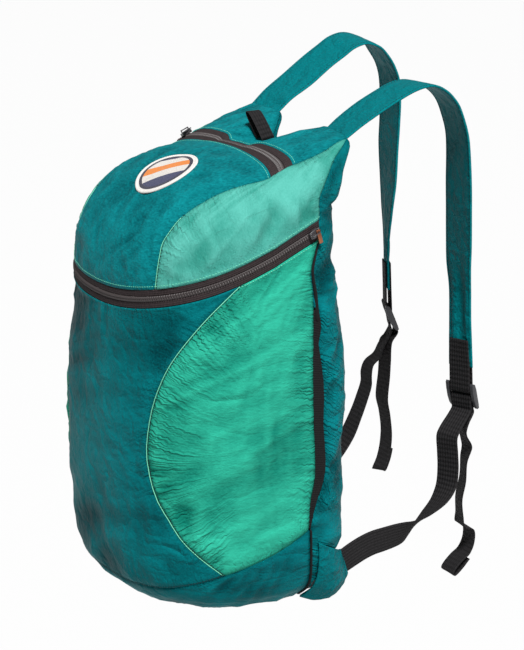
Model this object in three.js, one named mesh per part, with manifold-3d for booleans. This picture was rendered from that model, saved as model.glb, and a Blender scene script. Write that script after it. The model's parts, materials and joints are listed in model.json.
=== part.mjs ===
// A packable backpack of thin ripstop cloth, shown worn: a rounded sack with leaf-shaped side
// panels, a wide main zip that climbs from the front to the back, a short zip over the crown,
// two arched shoulder straps, and ladder locks with long webbing tails.
// Millimetres. +X is the wearer's right seen from the front panel's side, -Y the front, +Z up.
// The origin is the point midway between the crowns of the two shoulder straps.

import * as THREE from 'three';
import { mergeVertices } from 'three/addons/utils/BufferGeometryUtils.js';
import Module from 'manifold-3d';

const wasm = await Module();
wasm.setup();

// Sack
const SACK_WIDTH = 272;
const SACK_DEPTH = 228;
const WALL_HEIGHT = 306;       // front wall, from the foot ring up to the main zip
const ZIP_RISE = 104;          // the zip line's climb from the front to the back
const CROWN_HEIGHT = 448;      // the crown above the sack's lowest point
const CROWN_BACK = 38;         // the crown's place behind the middle of the sack
const SIDE_FALL = 10;          // the crown's fall towards the sides,
const FRONT_FALL = 11;         // towards the front
const BACK_FALL = 6;           // and towards the back edge
const FOOT_DEPTH = 6;          // how far the underside hangs below the foot ring
const FRONT_LIFT = 6;          // how far the foot ring rises in front
const CLOTH = 1.4;
const SEAM_GAP = 0.3;

// Zips, patch and hang loop
const ZIP_BAND = 18;
const ZIP_CHAIN = 5.2;
const TAPE = 1.2;
const CHAIN_LIFT = 0.5;
const POCKET_ZIP_BAND = 17;
const POCKET_ZIP_BACK = 20;    // middle of the pocket zip at the sides, from the sack's middle
const POCKET_ZIP_BOW = 11;     // extra distance back at the centre of the pocket zip
const SLIDER_LENGTH = 11;
const SLIDER_WIDTH = 8.4;
const PULL_LENGTH = 14;
const PATCH_DIAMETER = 66;
const PATCH_THICKNESS = 1.3;
const LOOP_WIDTH = 15;
const LOOP_HEIGHT = 25;
const LOOP_SPAN = 12;
const RIBBON = 1.3;

// Straps and webbing
const STRAP_SPREAD = 144;      // between the middles of the two straps
const STRAP_WIDTH = 50;
const STRAP_THICKNESS = 2.4;
const STRAP_REACH = 150;       // from the strap roots back to the hanging part
const STRAP_ARCH = 66;         // crown of the higher strap above its root
const STRAP_DROP = 300;        // hanging part, from the crown down to the ladder lock
const WEBBING_WIDTH = 25;
const WEBBING = 1.5;
const TAIL_DROP = 180;         // how far the free webbing tail hangs below its ladder lock
const LOCK_LENGTH = 30;
const LOCK_RAIL = 3.4;
const LOCK_BAR = 3.2;
const LOCK_DEPTH = 6.5;
const TAB_THICKNESS = 2.6;

const DEG = Math.PI / 180;
const V3 = THREE.Vector3;

// Foot-to-zip sections of the sack. Columns: level (share of the wall), half width (share of
// half the sack's width), front and back depth (shares of the sack's depth), and how square
// the outline is in front and behind (2 is an ellipse).
const LEVEL = 0;
const [HALF, FRONT, BACK, FRONT_SQUARE, BACK_SQUARE] = [1, 2, 3, 4, 5];
const SECTIONS = [
  [0.000, 0.790, 0.405, 0.368, 2.6, 3.6],
  [0.046, 0.897, 0.474, 0.424, 2.6, 3.8],
  [0.131, 0.960, 0.528, 0.444, 2.7, 4.2],
  [0.294, 0.988, 0.540, 0.450, 2.8, 4.4],
  [0.523, 1.000, 0.548, 0.440, 2.8, 4.4],
  [0.752, 0.993, 0.544, 0.418, 2.8, 4.3],
  [1.000, 0.956, 0.513, 0.402, 2.8, 3.9],
];

// How boxy the shoulder between the zip line and the crown is. Columns: turn in degrees away
// from the front, squareness.
const SHOULDERS = [
  [0, 2.7],
  [35, 3.0],
  [60, 3.6],
  [100, 4.2],
  [140, 5.5],
  [180, 6.5],
];

// Seams as columns of turn (degrees away from the front) and level (share of the wall; above
// 1 it counts on over the lid, 2 being the crown).
const TURN = 0;
const HIGH = 1;
const LEAF_FRONT = [
  [65.5, 0.140], [56.5, 0.200], [48.0, 0.267], [42.5, 0.333], [37.5, 0.400], [34.5, 0.477],
  [33.5, 0.547], [34.5, 0.617], [36.5, 0.687], [40.0, 0.760], [44.5, 0.820], [51.5, 0.880],
  [60.0, 0.930], [72.0, 0.974],
];
const LEAF_REAR = [
  [111.5, 0.2335], [111.5, 0.310], [113.5, 0.360], [114.0, 0.417], [113.0, 0.530],
  [113.0, 0.670], [113.5, 0.733], [114.0, 0.840], [113.2, 0.883], [113.5, 0.907], [119.0, 0.963],
];
const BOTTOM_SEAM = [
  [0, 0.060], [16.5, 0.066], [36.5, 0.083], [46.5, 0.100], [56.5, 0.120], [65.5, 0.140],
  [75.0, 0.157], [85.0, 0.173], [97.5, 0.197], [112.0, 0.2335],
];
const RISER = [
  [118.5, 0.000], [116.0, 0.060], [114.0, 0.120], [112.8, 0.180], [112.0, 0.2335],
];
const LID_FRONT_SEAM = [
  [36.0, 1.083], [36.5, 1.160], [37.0, 1.240], [37.5, 1.317], [39.5, 1.367], [42.5, 1.420],
  [46.5, 1.463], [52.0, 1.497], [59.5, 1.530], [70.5, 1.550], [84.0, 1.558],
];
const LID_REAR_SEAM = [
  [119.5, 1.027], [120.0, 1.117], [120.0, 1.270], [122.5, 1.410], [125.5, 1.470],
];
// Width of the black tape behind each leaf. Columns: level, share of the full width.
const SEAM_TAPE_WIDTH = 12;
const SEAM_TAPE = [
  [0.2335, 0.10], [0.260, 0.25], [0.313, 0.62], [0.363, 1.00], [0.520, 0.98], [0.593, 1.10],
  [0.667, 0.88], [0.720, 0.55], [0.763, 0.75], [0.830, 0.32], [0.870, 0.10],
];
const LEAF_TOP_TURN = 72;
const ZIP_END_TURN = 119.2;
const LID_SEAM_TURN = 36;
const BACK_EDGE = 1.5;         // level of the seam along the top of the back
const ROOT_BOW = 0.034;        // how far that seam bows inward under each strap

// Broad dents and bulges of the worn sack. Columns: turn, level, half length (mm) along and
// half width (mm) across the fold, slant in degrees from level, depth (share of the depth).
const FOLDS = [
  [150, 0.93, 70, 40, 70, -0.040],
  [-150, 0.93, 70, 40, -70, -0.034],
  [133, 1.20, 26, 18, 80, 0.020],
  [148, 1.27, 32, 28, 85, -0.070],
  [-148, 1.27, 32, 28, -85, -0.060],
  [138, 0.62, 90, 22, 80, 0.012],
  [-138, 0.66, 90, 22, -80, 0.012],
  [180, 0.55, 110, 60, 0, 0.020],
  [180, 1.15, 90, 30, 5, -0.024],
  [8, 0.62, 60, 26, 20, 0.008],
  [-30, 0.30, 70, 22, 40, -0.010],
  [22, 0.84, 60, 16, -35, -0.008],
  [76, 0.50, 60, 34, 15, 0.010],
  [-76, 0.50, 60, 34, -15, 0.010],
  [90, 1.30, 46, 16, 50, -0.012],
  [-90, 1.30, 46, 16, -50, -0.012],
];

// Where the yoke's corners are drawn up to the shoulder straps: back (share of half the sack's
// depth) and up (share of the crown's height) of the inner and outer corner of each root.
// inward is how much faster the pull fades towards the middle, tilt the degrees that the ladder
// lock's lower end swings outward.
const ROOTS = {
  right: { side: 1, inner: [0.984, 1.0386], outer: [0.889, 1.0318], inward: 1.42, tilt: 11 },
  left: { side: -1, inner: [1.005, 1.0450], outer: [0.994, 1.0493], inward: 2.0, tilt: 17 },
};
const PULL_RADIUS = 66;
const PULL_POWER = 1.15;
const PULL_DOWN = 2.8;         // how much faster the pull fades down the back

// Routes of the two straps from root to end. Columns: back (share of the reach), rise (share
// of the arch), drop (share of the drop), width (share of the strap's width), yaw and roll in
// degrees (outer edge turned back, outer edge lifted).
const [REACH, RISE, DROP, WIDE, YAW, ROLL] = [0, 1, 2, 3, 4, 5];
const STRAP_ROUTES = {
  right: [
    [0.09, 0.13, 0.000, 1.00, -4, 0],
    [0.24, 0.32, 0.000, 1.00, 0, 0],
    [0.40, 0.49, 0.000, 1.00, 0, 0],
    [0.49, 0.57, 0.000, 1.00, 1, 0],
    [0.57, 0.61, 0.000, 1.00, 2, 0],
    [0.64, 0.61, 0.000, 1.00, 2, 0],
    [0.72, 0.55, 0.000, 1.00, -3, 0],
    [0.80, 0.44, 0.000, 1.00, -8, 0],
    [0.865, 0.61, 0.073, 1.00, -9, 0],
    [0.915, 0.61, 0.127, 1.00, -9, 0],
    [0.950, 0.61, 0.183, 1.00, -9, 0],
    [0.965, 0.61, 0.250, 1.00, -8, 0],
    [0.975, 0.61, 0.350, 1.00, -6, 0],
    [0.983, 0.61, 0.450, 1.00, -6, 0],
    [0.990, 0.61, 0.550, 0.97, -5, 0],
    [0.995, 0.61, 0.633, 0.88, -3, 0],
    [1.012, 0.61, 0.717, 0.74, 0, 0],
    [1.021, 0.61, 0.810, 0.65, 6, 0],
    [1.030, 0.61, 0.900, 0.61, 13, 0],
    [1.040, 0.61, 0.990, 0.58, 20, 0],
  ],
  left: [
    [0.09, 0.17, 0.000, 1.00, -3, 3],
    [0.24, 0.38, 0.000, 1.00, -6, 4],
    [0.40, 0.63, 0.000, 1.00, -4, 5],
    [0.51, 0.78, 0.000, 1.00, -3, 6],
    [0.60, 0.90, 0.000, 1.00, -1, 7],
    [0.70, 0.955, 0.000, 1.00, 1, 7],
    [0.79, 0.915, 0.000, 1.00, 5, 6],
    [0.86, 0.83, 0.000, 1.00, 9, 4],
    [0.92, 0.955, 0.062, 1.00, 10, 0],
    [0.973, 0.955, 0.102, 1.00, 10, 0],
    [1.007, 0.955, 0.148, 1.00, 9, 0],
    [1.020, 0.955, 0.212, 1.00, 9, 0],
    [1.020, 0.955, 0.295, 1.00, 10, 0],
    [1.013, 0.955, 0.392, 1.00, 11, 0],
    [1.017, 0.955, 0.518, 0.97, 15, 0],
    [1.013, 0.955, 0.612, 0.88, 20, 0],
    [1.013, 0.955, 0.695, 0.76, 25, 0],
    [1.013, 0.955, 0.762, 0.66, 27, 0],
    [1.020, 0.955, 0.830, 0.60, 27, 0],
    [1.028, 0.955, 0.905, 0.57, 27, 0],
  ],
};
const STRAP_OVERLAP = 27;      // webbing sewn over both faces of the strap's end
const LOCK_HANG = 25;          // from the strap's end down to the lock's top bar
const BAR_STEP = 8.2;          // between the lock's top and middle bars

// Corner tab: middle of its webbing edge, as shares of half the sack's width, half its depth
// and the crown's height, and the direction across that edge (out, back, up).
const TAB_TIP = [0.787, 0.860, 0.078];
const TAB_ACROSS = [-0.08, -0.44, 0.89];
const TAB_FEET = [[120.5, 0.000], [116.5, 0.190]];
const TAB_BULGE = 10;          // how far the tab's lower edge hangs
const TAB_SWELL = 8.5;         // and how far its middle stands out

// Webbing from the lock down to the corner tab. Columns: along (share of the plan distance from
// lock to tab), height (share of the drop from lock to tab), then the direction across the
// webbing (out, back, up).
const WEBBING_ROUTES = {
  right: [
    [0.100, 0.860, 0.90, 0.42, 0.00],
    [0.125, 0.800, 0.90, 0.42, 0.00],
    [0.116, 0.667, 0.90, 0.44, 0.00],
    [0.107, 0.514, 0.90, 0.44, 0.02],
    [0.120, 0.368, 0.91, 0.38, 0.05],
    [0.180, 0.257, 0.93, 0.20, 0.12],
    [0.286, 0.174, 0.93, -0.20, 0.20],
    [0.363, 0.125, 0.82, -0.48, 0.32],
    [0.430, 0.090, 0.60, -0.55, 0.60],
    [0.500, 0.072, 0.25, -0.50, 0.84],
    [0.583, 0.070, 0.05, -0.42, 0.91],
    [0.673, 0.070, -0.05, -0.36, 0.93],
    [0.756, 0.070, -0.10, -0.35, 0.93],
    [0.840, 0.056, -0.12, -0.38, 0.92],
    [0.923, 0.030, -0.12, -0.44, 0.90],
  ],
  left: [
    [0.060, 0.900, 0.93, 0.36, 0.00],
    [0.085, 0.845, 0.95, 0.30, 0.00],
    [0.135, 0.800, 0.98, 0.20, 0.00],
    [0.152, 0.740, 0.99, 0.10, 0.00],
    [0.152, 0.670, 0.99, 0.10, 0.00],
    [0.175, 0.590, 0.99, 0.08, 0.00],
    [0.215, 0.480, 0.99, 0.05, 0.02],
    [0.276, 0.348, 0.98, -0.05, 0.10],
    [0.380, 0.220, 0.90, -0.20, 0.30],
    [0.500, 0.130, 0.60, -0.40, 0.65],
    [0.640, 0.085, 0.20, -0.42, 0.88],
    [0.800, 0.060, -0.05, -0.40, 0.92],
    [0.910, 0.030, -0.12, -0.44, 0.90],
  ],
};

// Free tails under the locks. Columns: back and down (shares of the tail's drop, from where it
// leaves the lock), then the direction across the webbing (out, back, up).
const TAIL_ROUTES = {
  right: [
    [-0.018, 0.060, 0.93, 0.10, 0.00],
    [-0.008, 0.124, 0.93, -0.30, 0.00],
    [0.027, 0.219, 0.95, -0.20, 0.15],
    [0.009, 0.302, 0.93, -0.36, 0.00],
    [0.005, 0.419, 0.93, -0.38, 0.00],
    [-0.018, 0.530, 0.93, -0.36, 0.00],
    [-0.010, 0.636, 0.93, -0.30, 0.00],
    [-0.003, 0.694, 0.95, -0.20, 0.00],
    [0.057, 0.728, 0.97, -0.12, 0.00],
    [0.061, 0.802, 0.97, -0.12, 0.00],
    [0.031, 0.866, 0.97, -0.10, 0.00],
    [-0.021, 0.903, 0.98, -0.08, 0.00],
    [-0.068, 0.945, 0.98, -0.08, 0.00],
    [-0.085, 0.973, 0.98, -0.08, 0.00],
    [-0.069, 0.984, 0.98, -0.08, 0.00],
    [-0.021, 0.950, 0.98, -0.08, 0.00],
    [0.027, 0.902, 0.98, -0.08, 0.00],
  ],
  left: [
    [-0.063, 0.061, 0.99, 0.05, 0.00],
    [-0.068, 0.178, 0.99, 0.06, 0.00],
    [-0.072, 0.272, 0.99, 0.06, 0.00],
    [-0.084, 0.417, 0.99, 0.04, 0.00],
    [-0.063, 0.511, 0.99, 0.08, 0.00],
    [-0.046, 0.628, 0.99, 0.10, 0.00],
    [-0.050, 0.722, 0.98, 0.08, -0.10],
    [-0.067, 0.800, 0.98, 0.05, -0.16],
    [-0.092, 0.858, 0.98, 0.02, -0.20],
    [-0.094, 0.872, 0.98, 0.02, -0.20],
    [-0.083, 0.866, 0.98, 0.02, -0.20],
    [-0.055, 0.802, 0.98, 0.05, -0.18],
    [-0.038, 0.730, 0.98, 0.06, -0.14],
  ],
};

// How finely each piece is divided.
const COLS_FRONT = 24;
const COLS_LEAF = 6;
const COLS_BACK = 12;
const ROWS_WALL = 14;
const ROWS_LID = 10;
const LID_BEND = 5;            // row at which the lid's front seam turns back along the top
const RISER_STEPS = (COLS_FRONT - COLS_BACK) / 2;
const TAPE_FIRST = 0;
const TAPE_LAST = 11;

// Smooth value of a column of a table at a place along its first column.
function along(table, column, at) {
  const last = table.length - 1;
  let i = 0;
  while (i < last - 1 && at > table[i + 1][0]) i += 1;
  const slope = (k) => {
    const a = Math.max(k - 1, 0);
    const b = Math.min(k + 1, last);
    return (table[b][column] - table[a][column]) / (table[b][0] - table[a][0]);
  };
  const x0 = table[i][0];
  const span = table[i + 1][0] - x0;
  const u = Math.min(Math.max((at - x0) / span, 0), 1);
  const p0 = table[i][column];
  const p1 = table[i + 1][column];
  const m0 = slope(i) * span;
  const m1 = slope(i + 1) * span;
  const u2 = u * u;
  const u3 = u2 * u;
  return (2 * u3 - 3 * u2 + 1) * p0 + (u3 - 2 * u2 + u) * m0
    + (3 * u2 - 2 * u3) * p1 + (u3 - u2) * m1;
}

// Smooth curve through rows of numbers, read at an even share of its length.
function routeThrough(rows) {
  const steps = [0];
  for (let k = 1; k < rows.length; k += 1) {
    const gap = Math.hypot(...[0, 1, 2].map((c) => rows[k][c] - rows[k - 1][c]));
    steps.push(steps[k - 1] + Math.max(gap, 1e-6));
  }
  const total = steps[steps.length - 1];
  const table = rows.map((row, k) => [steps[k] / total, ...row]);
  return (share) => rows[0].map((_, c) => along(table, c + 1, share));
}

// The same curve sampled at every row and, between rows, no further apart than a step.
function routeRows(rows, step) {
  const read = routeThrough(rows);
  const run = [0];
  for (let k = 1; k < rows.length; k += 1) {
    run.push(run[k - 1] + Math.max(Math.hypot(
      ...[0, 1, 2].map((c) => rows[k][c] - rows[k - 1][c])), 1e-6));
  }
  const total = run[run.length - 1];
  const out = [rows[0]];
  for (let k = 1; k < rows.length; k += 1) {
    const parts = Math.ceil((run[k] - run[k - 1]) / step);
    for (let n = 1; n <= parts; n += 1) {
      out.push(read((run[k - 1] + (run[k] - run[k - 1]) * n / parts) / total));
    }
  }
  return out;
}

// A list of seam points resampled to a given number of steps along a straight-line length.
function resample(points, steps, scale = [1, 1]) {
  const run = [0];
  for (let k = 1; k < points.length; k += 1) {
    const du = (points[k][0] - points[k - 1][0]) * scale[0];
    const dv = (points[k][1] - points[k - 1][1]) * scale[1];
    run.push(run[k - 1] + Math.hypot(du, dv));
  }
  const total = run[run.length - 1];
  const table = points.map((p, k) => [run[k] / total, p[0], p[1]]);
  const out = [];
  for (let k = 0; k <= steps; k += 1) {
    const s = k / steps;
    out.push([along(table, 1, s), along(table, 2, s)]);
  }
  return out;
}

function squarePoint(angle, power) {
  const c = Math.cos(angle);
  const s = Math.sin(angle);
  const n = (Math.abs(c) ** power + Math.abs(s) ** power) ** (1 / power);
  return [c / n, s / n];
}

const turnOff = (turn) => Math.abs(((turn + 540) % 360) - 180);
const climb = (turn) => ZIP_RISE * (1 - Math.cos(turn * DEG)) / 2;
const frontLift = (turn) => FRONT_LIFT * (1 + Math.cos(turn * DEG)) / 2;

// The sack's outline at a turn and level, before the folds.
function ring(turn, level) {
  const front = turnOff(turn) <= 90;
  const power = along(SECTIONS, front ? FRONT_SQUARE : BACK_SQUARE, level);
  const depth = SACK_DEPTH * along(SECTIONS, front ? FRONT : BACK, level);
  const [c, s] = squarePoint(turn * DEG, power);
  return [SACK_WIDTH / 2 * along(SECTIONS, HALF, level) * s, -depth * c];
}

function plainSack(turn, level) {
  if (level < 0) {
    const share = 1 + level;
    const [x, y] = ring(turn, 0);
    return new V3(x * share, y * share, FOOT_DEPTH * share ** 3 + frontLift(turn) * share ** 2);
  }
  const wall = Math.min(level, 1);
  const [x, y] = ring(turn, wall);
  const z = FOOT_DEPTH + wall * WALL_HEIGHT + climb(turn) * wall ** 1.5
    + frontLift(turn) * Math.max(0, 1 - 3 * wall) ** 2;
  if (level <= 1) return new V3(x, y, z);
  const [run, rise] = squarePoint((level - 1) * Math.PI / 2, along(SHOULDERS, 1, turnOff(turn)));
  const px = run * x;
  const py = CROWN_BACK + run * (y - CROWN_BACK);
  const ahead = Math.max(0, (CROWN_BACK - py) / (SACK_DEPTH / 2));
  const behind = Math.max(0, (py - CROWN_BACK) / (SACK_DEPTH / 4));
  const top = CROWN_HEIGHT - SIDE_FALL * (px / (0.37 * SACK_WIDTH)) ** 2
    - FRONT_FALL * ahead ** 2 - BACK_FALL * behind ** 2;
  return new V3(px, py, z + rise * (top - z));
}

// Turn at which the sack reaches a given distance from its middle plane, behind.
function turnAtSide(x, level) {
  let low = 100;
  let high = 180;
  for (let k = 0; k < 40; k += 1) {
    const mid = (low + high) / 2;
    if (plainSack(mid, level).x > x) low = mid;
    else high = mid;
  }
  return (low + high) / 2;
}
const INNER_TURN = turnAtSide((STRAP_SPREAD - STRAP_WIDTH) / 2, BACK_EDGE);
const OUTER_TURN = turnAtSide((STRAP_SPREAD + STRAP_WIDTH) / 2, BACK_EDGE);

const pulls = Object.values(ROOTS).map(({ side, inner, outer, inward }) => {
  const from = [INNER_TURN, OUTER_TURN].map((turn) => plainSack(side * turn, BACK_EDGE));
  const to = [inner, outer].map(([back, up], k) => (
    new V3(from[k].x, back * SACK_DEPTH / 2, up * CROWN_HEIGHT)));
  return { from, inward, shift: to.map((p, k) => p.clone().sub(from[k])) };
});

// The yoke's corners drawn up to the straps, fading with distance like a tent.
function pullUp(point) {
  const out = point.clone();
  for (const { from: [a, b], inward, shift } of pulls) {
    const axis = b.clone().sub(a);
    const share = point.clone().sub(a).dot(axis) / axis.lengthSq();
    const held = Math.min(Math.max(share, 0), 1);
    const gap = point.clone().sub(a.clone().addScaledVector(axis, held));
    if (share < 0) gap.x *= inward;
    if (gap.z < 0) gap.z *= PULL_DOWN;
    const reach = gap.length();
    const near = Math.max(0, 1 - reach / PULL_RADIUS) ** PULL_POWER;
    out.addScaledVector(shift[0].clone().lerp(shift[1], held), near);
  }
  return out;
}

// Seam coordinates: a point of the foot disc for the underside and low wall, of the lid disc
// for everything near and above the zip.
const footDisc = ([turn, level]) => {
  const r = level < 0 ? 1 + level : 1 + level * WALL_HEIGHT / (0.45 * SACK_WIDTH);
  return [r * Math.sin(turn * DEG), -r * Math.cos(turn * DEG)];
};
const footSeam = ([u, v]) => {
  const r = Math.hypot(u, v);
  const level = r < 1 ? r - 1 : (r - 1) * 0.45 * SACK_WIDTH / WALL_HEIGHT;
  return [Math.atan2(u, -v) / DEG, level];
};
const lidDisc = ([turn, level]) => [
  (2 - level) * Math.sin(turn * DEG),
  -(2 - level) * Math.cos(turn * DEG),
];
const lidSeam = ([u, v]) => [Math.atan2(u, -v) / DEG, 2 - Math.hypot(u, v)];

function foldHeight(turn, level) {
  let sum = 0;
  for (const [foldTurn, foldLevel, half, wide, slant, deep] of FOLDS) {
    const away = ((turn - foldTurn + 540) % 360) - 180;
    const over = level > 1 ? 1 + (level - 1) * 0.5 : level;
    const foldOver = foldLevel > 1 ? 1 + (foldLevel - 1) * 0.5 : foldLevel;
    const du = away * DEG * 0.46 * SACK_WIDTH;
    const dv = (over - foldOver) * WALL_HEIGHT;
    const c = Math.cos(slant * DEG);
    const s = Math.sin(slant * DEG);
    const a = (du * c + dv * s) / half;
    const b = (dv * c - du * s) / wide;
    const near = Math.max(0, 1 - a * a - b * b);
    sum += deep * SACK_DEPTH * near * near;
  }
  return sum;
}

function basis(turn, level, at) {
  const step = 0.004;
  if (level < 0.02 || level > 1.3) {
    const low = level < 0.02;
    const [u, v] = low ? footDisc([turn, level]) : lidDisc([turn, level]);
    const back = low ? footSeam : lidSeam;
    const value = (du, dv) => at(...back([u + du, v + dv]));
    const e = value(step, 0).sub(value(-step, 0));
    const f = value(0, step).sub(value(0, -step));
    const normal = e.clone().cross(f).normalize();
    return low ? normal.negate() : normal;
  }
  const e = at(turn + 0.3, level).sub(at(turn - 0.3, level));
  const f = at(turn, level + step).sub(at(turn, level - step));
  return e.cross(f).normalize();
}

const smoothSack = (turn, level) => pullUp(plainSack(turn, level));
function sackPoint(turn, level) {
  const height = foldHeight(turn, level);
  const p = smoothSack(turn, level);
  return height === 0 ? p : p.addScaledVector(basis(turn, level, smoothSack), height);
}
const sackNormal = (turn, level) => basis(turn, level, sackPoint);

// Level of the point a given height up the wall from the zip band's lower edge.
function zipLevel(turn, height) {
  const low = 0.983 - 0.020 * (1 - Math.cos(turn * DEG)) / 1.49;
  const target = plainSack(turn, low).z + height;
  let a = low - 0.1;
  let b = 1.4;
  for (let k = 0; k < 40; k += 1) {
    const mid = (a + b) / 2;
    if (plainSack(turn, mid).z < target) a = mid;
    else b = mid;
  }
  return (a + b) / 2;
}

// Patch of seam points between four lists of boundary points (bottom and top run the same way,
// left and right run upwards), blended between its sides.
function patch(bottom, top, left, right) {
  const cols = bottom.length - 1;
  const rows = left.length - 1;
  const grid = [];
  for (let j = 0; j <= rows; j += 1) {
    const line = [];
    for (let i = 0; i <= cols; i += 1) {
      const s = i / cols;
      const t = j / rows;
      line.push([0, 1].map((k) => (
        (1 - t) * bottom[i][k] + t * top[i][k] + (1 - s) * left[j][k] + s * right[j][k]
        - (1 - s) * (1 - t) * bottom[0][k] - s * (1 - t) * bottom[cols][k]
        - (1 - s) * t * top[0][k] - s * t * top[cols][k])));
    }
    grid.push(line);
  }
  return grid;
}

// Moves the outer points of a grid inwards along the surface by half the seam gap.
function inset(points, normals, by = SEAM_GAP / 2) {
  const rows = points.length - 1;
  const cols = points[0].length - 1;
  const loop = [];
  for (let i = 0; i < cols; i += 1) loop.push([0, i]);
  for (let j = 0; j < rows; j += 1) loop.push([j, cols]);
  for (let i = cols; i > 0; i -= 1) loop.push([rows, i]);
  for (let j = rows; j > 0; j -= 1) loop.push([j, 0]);
  const moved = points.map((line) => line.map((p) => p.clone()));
  loop.forEach(([j, i], k) => {
    const [jb, ib] = loop[(k + loop.length - 1) % loop.length];
    const [ja, ia] = loop[(k + 1) % loop.length];
    const p = points[j][i];
    const [m, n] = [p.clone().sub(points[jb][ib]), points[ja][ia].clone().sub(p)]
      .map((edge) => normals[j][i].clone().cross(edge).normalize());
    const sharp = Math.max(1 + m.dot(n), 0.4);
    moved[j][i].addScaledVector(m.add(n), by / sharp);
  });
  return moved;
}

function solidFrom(positions) {
  let geometry = new THREE.BufferGeometry();
  geometry.setAttribute('position', new THREE.Float32BufferAttribute(positions, 3));
  geometry = mergeVertices(geometry, 1e-4);
  return geometry;
}

function quad(out, a, b, c, d) {
  const flat = (p, q) => p.distanceToSquared(q) < 1e-10;
  const put = (...tri) => {
    if (!flat(tri[0], tri[1]) && !flat(tri[1], tri[2]) && !flat(tri[2], tri[0])) {
      for (const p of tri) out.push(p.x, p.y, p.z);
    }
  };
  if (a.distanceToSquared(c) <= b.distanceToSquared(d)) {
    put(a, b, c);
    put(a, c, d);
  } else {
    put(a, b, d);
    put(b, c, d);
  }
}

// Closed sheet of cloth between two grids of points; the outer grid is seen from outside with
// its columns running to the right and its rows upwards.
function sheetBetween(outer, inner, looped = false) {
  const out = [];
  const rows = outer.length - 1;
  const cols = outer[0].length - 1;
  for (let j = 0; j < rows; j += 1) {
    for (let i = 0; i < cols; i += 1) {
      quad(out, outer[j][i], outer[j][i + 1], outer[j + 1][i + 1], outer[j + 1][i]);
      quad(out, inner[j][i], inner[j + 1][i], inner[j + 1][i + 1], inner[j][i + 1]);
    }
  }
  for (let i = 0; i < cols; i += 1) {
    quad(out, inner[0][i], inner[0][i + 1], outer[0][i + 1], outer[0][i]);
    quad(out, outer[rows][i], outer[rows][i + 1], inner[rows][i + 1], inner[rows][i]);
  }
  for (let j = 0; j < rows && !looped; j += 1) {
    quad(out, outer[j][0], outer[j + 1][0], inner[j + 1][0], inner[j][0]);
    quad(out, inner[j][cols], inner[j + 1][cols], outer[j + 1][cols], outer[j][cols]);
  }
  return solidFrom(out);
}

// Panel of the sack over a grid of seam points.
function panel(seams, wall = CLOTH, lift = 0, by = SEAM_GAP / 2) {
  const normals = seams.map((line) => line.map(([t, v]) => sackNormal(t, v)));
  const points = inset(seams.map((line) => line.map(([t, v]) => sackPoint(t, v))), normals, by);
  const offset = (far) => points.map((line, j) => (
    line.map((p, i) => p.clone().addScaledVector(normals[j][i], far))));
  return sheetBetween(offset(lift), offset(lift - wall));
}

const mirrored = (list) => list.map(([turn, level]) => [-turn, level]).reverse();
const evenly = (a, b, steps) => (
  Array.from({ length: steps + 1 }, (_, k) => a + (b - a) * k / steps));
const seamScale = [2.2, WALL_HEIGHT];

// Turns of the band's columns, shared by everything sewn to the main zip.
const turnsFront = evenly(-LEAF_TOP_TURN, LEAF_TOP_TURN, COLS_FRONT);
const turnsLeaf = evenly(LEAF_TOP_TURN, ZIP_END_TURN, COLS_LEAF);
const turnsBand = [
  ...turnsLeaf.slice(1).map((t) => -t).reverse(),
  ...turnsFront,
  ...turnsLeaf.slice(1),
];
const bandLine = (turns, height) => turns.map((t) => [t, zipLevel(t, height)]);

// Seams of the lower sack.
const leafFront = resample(LEAF_FRONT, ROWS_WALL, seamScale);
leafFront[ROWS_WALL] = [LEAF_TOP_TURN, zipLevel(LEAF_TOP_TURN, 0)];
const leafRear = leafFront.map(([, level], k) => {
  const share = k / ROWS_WALL;
  const low = LEAF_REAR[0][HIGH];
  const high = zipLevel(ZIP_END_TURN, 0);
  const at = low + (high - low) * share;
  const turn = along(LEAF_REAR.map(([t, v]) => [v, t]), 1, Math.min(at, 0.963));
  return [k === ROWS_WALL ? ZIP_END_TURN : turn, at];
});
const bottomAt = (turn) => [turn, along(BOTTOM_SEAM, 1, Math.abs(turn))];
const bottomFront = evenly(-leafFront[0][TURN], leafFront[0][TURN], COLS_FRONT).map(bottomAt);
const bottomLeaf = evenly(leafFront[0][TURN], leafRear[0][TURN], COLS_LEAF).map(bottomAt);
bottomLeaf[COLS_LEAF] = leafRear[0];
const riser = resample(RISER, RISER_STEPS, seamScale);
const backTurns = (from, to, steps) => {
  const fine = evenly(from, to, 60);
  const run = [0];
  for (let k = 1; k < fine.length; k += 1) {
    run.push(run[k - 1] + plainSack(fine[k], 0.5).distanceTo(plainSack(fine[k - 1], 0.5)));
  }
  const table = fine.map((t, k) => [run[k] / run[60], t]);
  return evenly(0, 1, steps).map((share) => along(table, 1, share));
};
const footBack = backTurns(riser[0][TURN], 360 - riser[0][TURN], COLS_BACK).map((t) => [t, 0]);
const tapeEdge = leafRear.slice(TAPE_FIRST, TAPE_LAST + 1).map(([turn, level], k) => {
  if (k === 0) return riser[RISER_STEPS];
  const wide = SEAM_TAPE_WIDTH * along(SEAM_TAPE, 1, Math.min(level, 0.87));
  return [turn + wide / (0.45 * SACK_WIDTH) / DEG, level];
});

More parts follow.
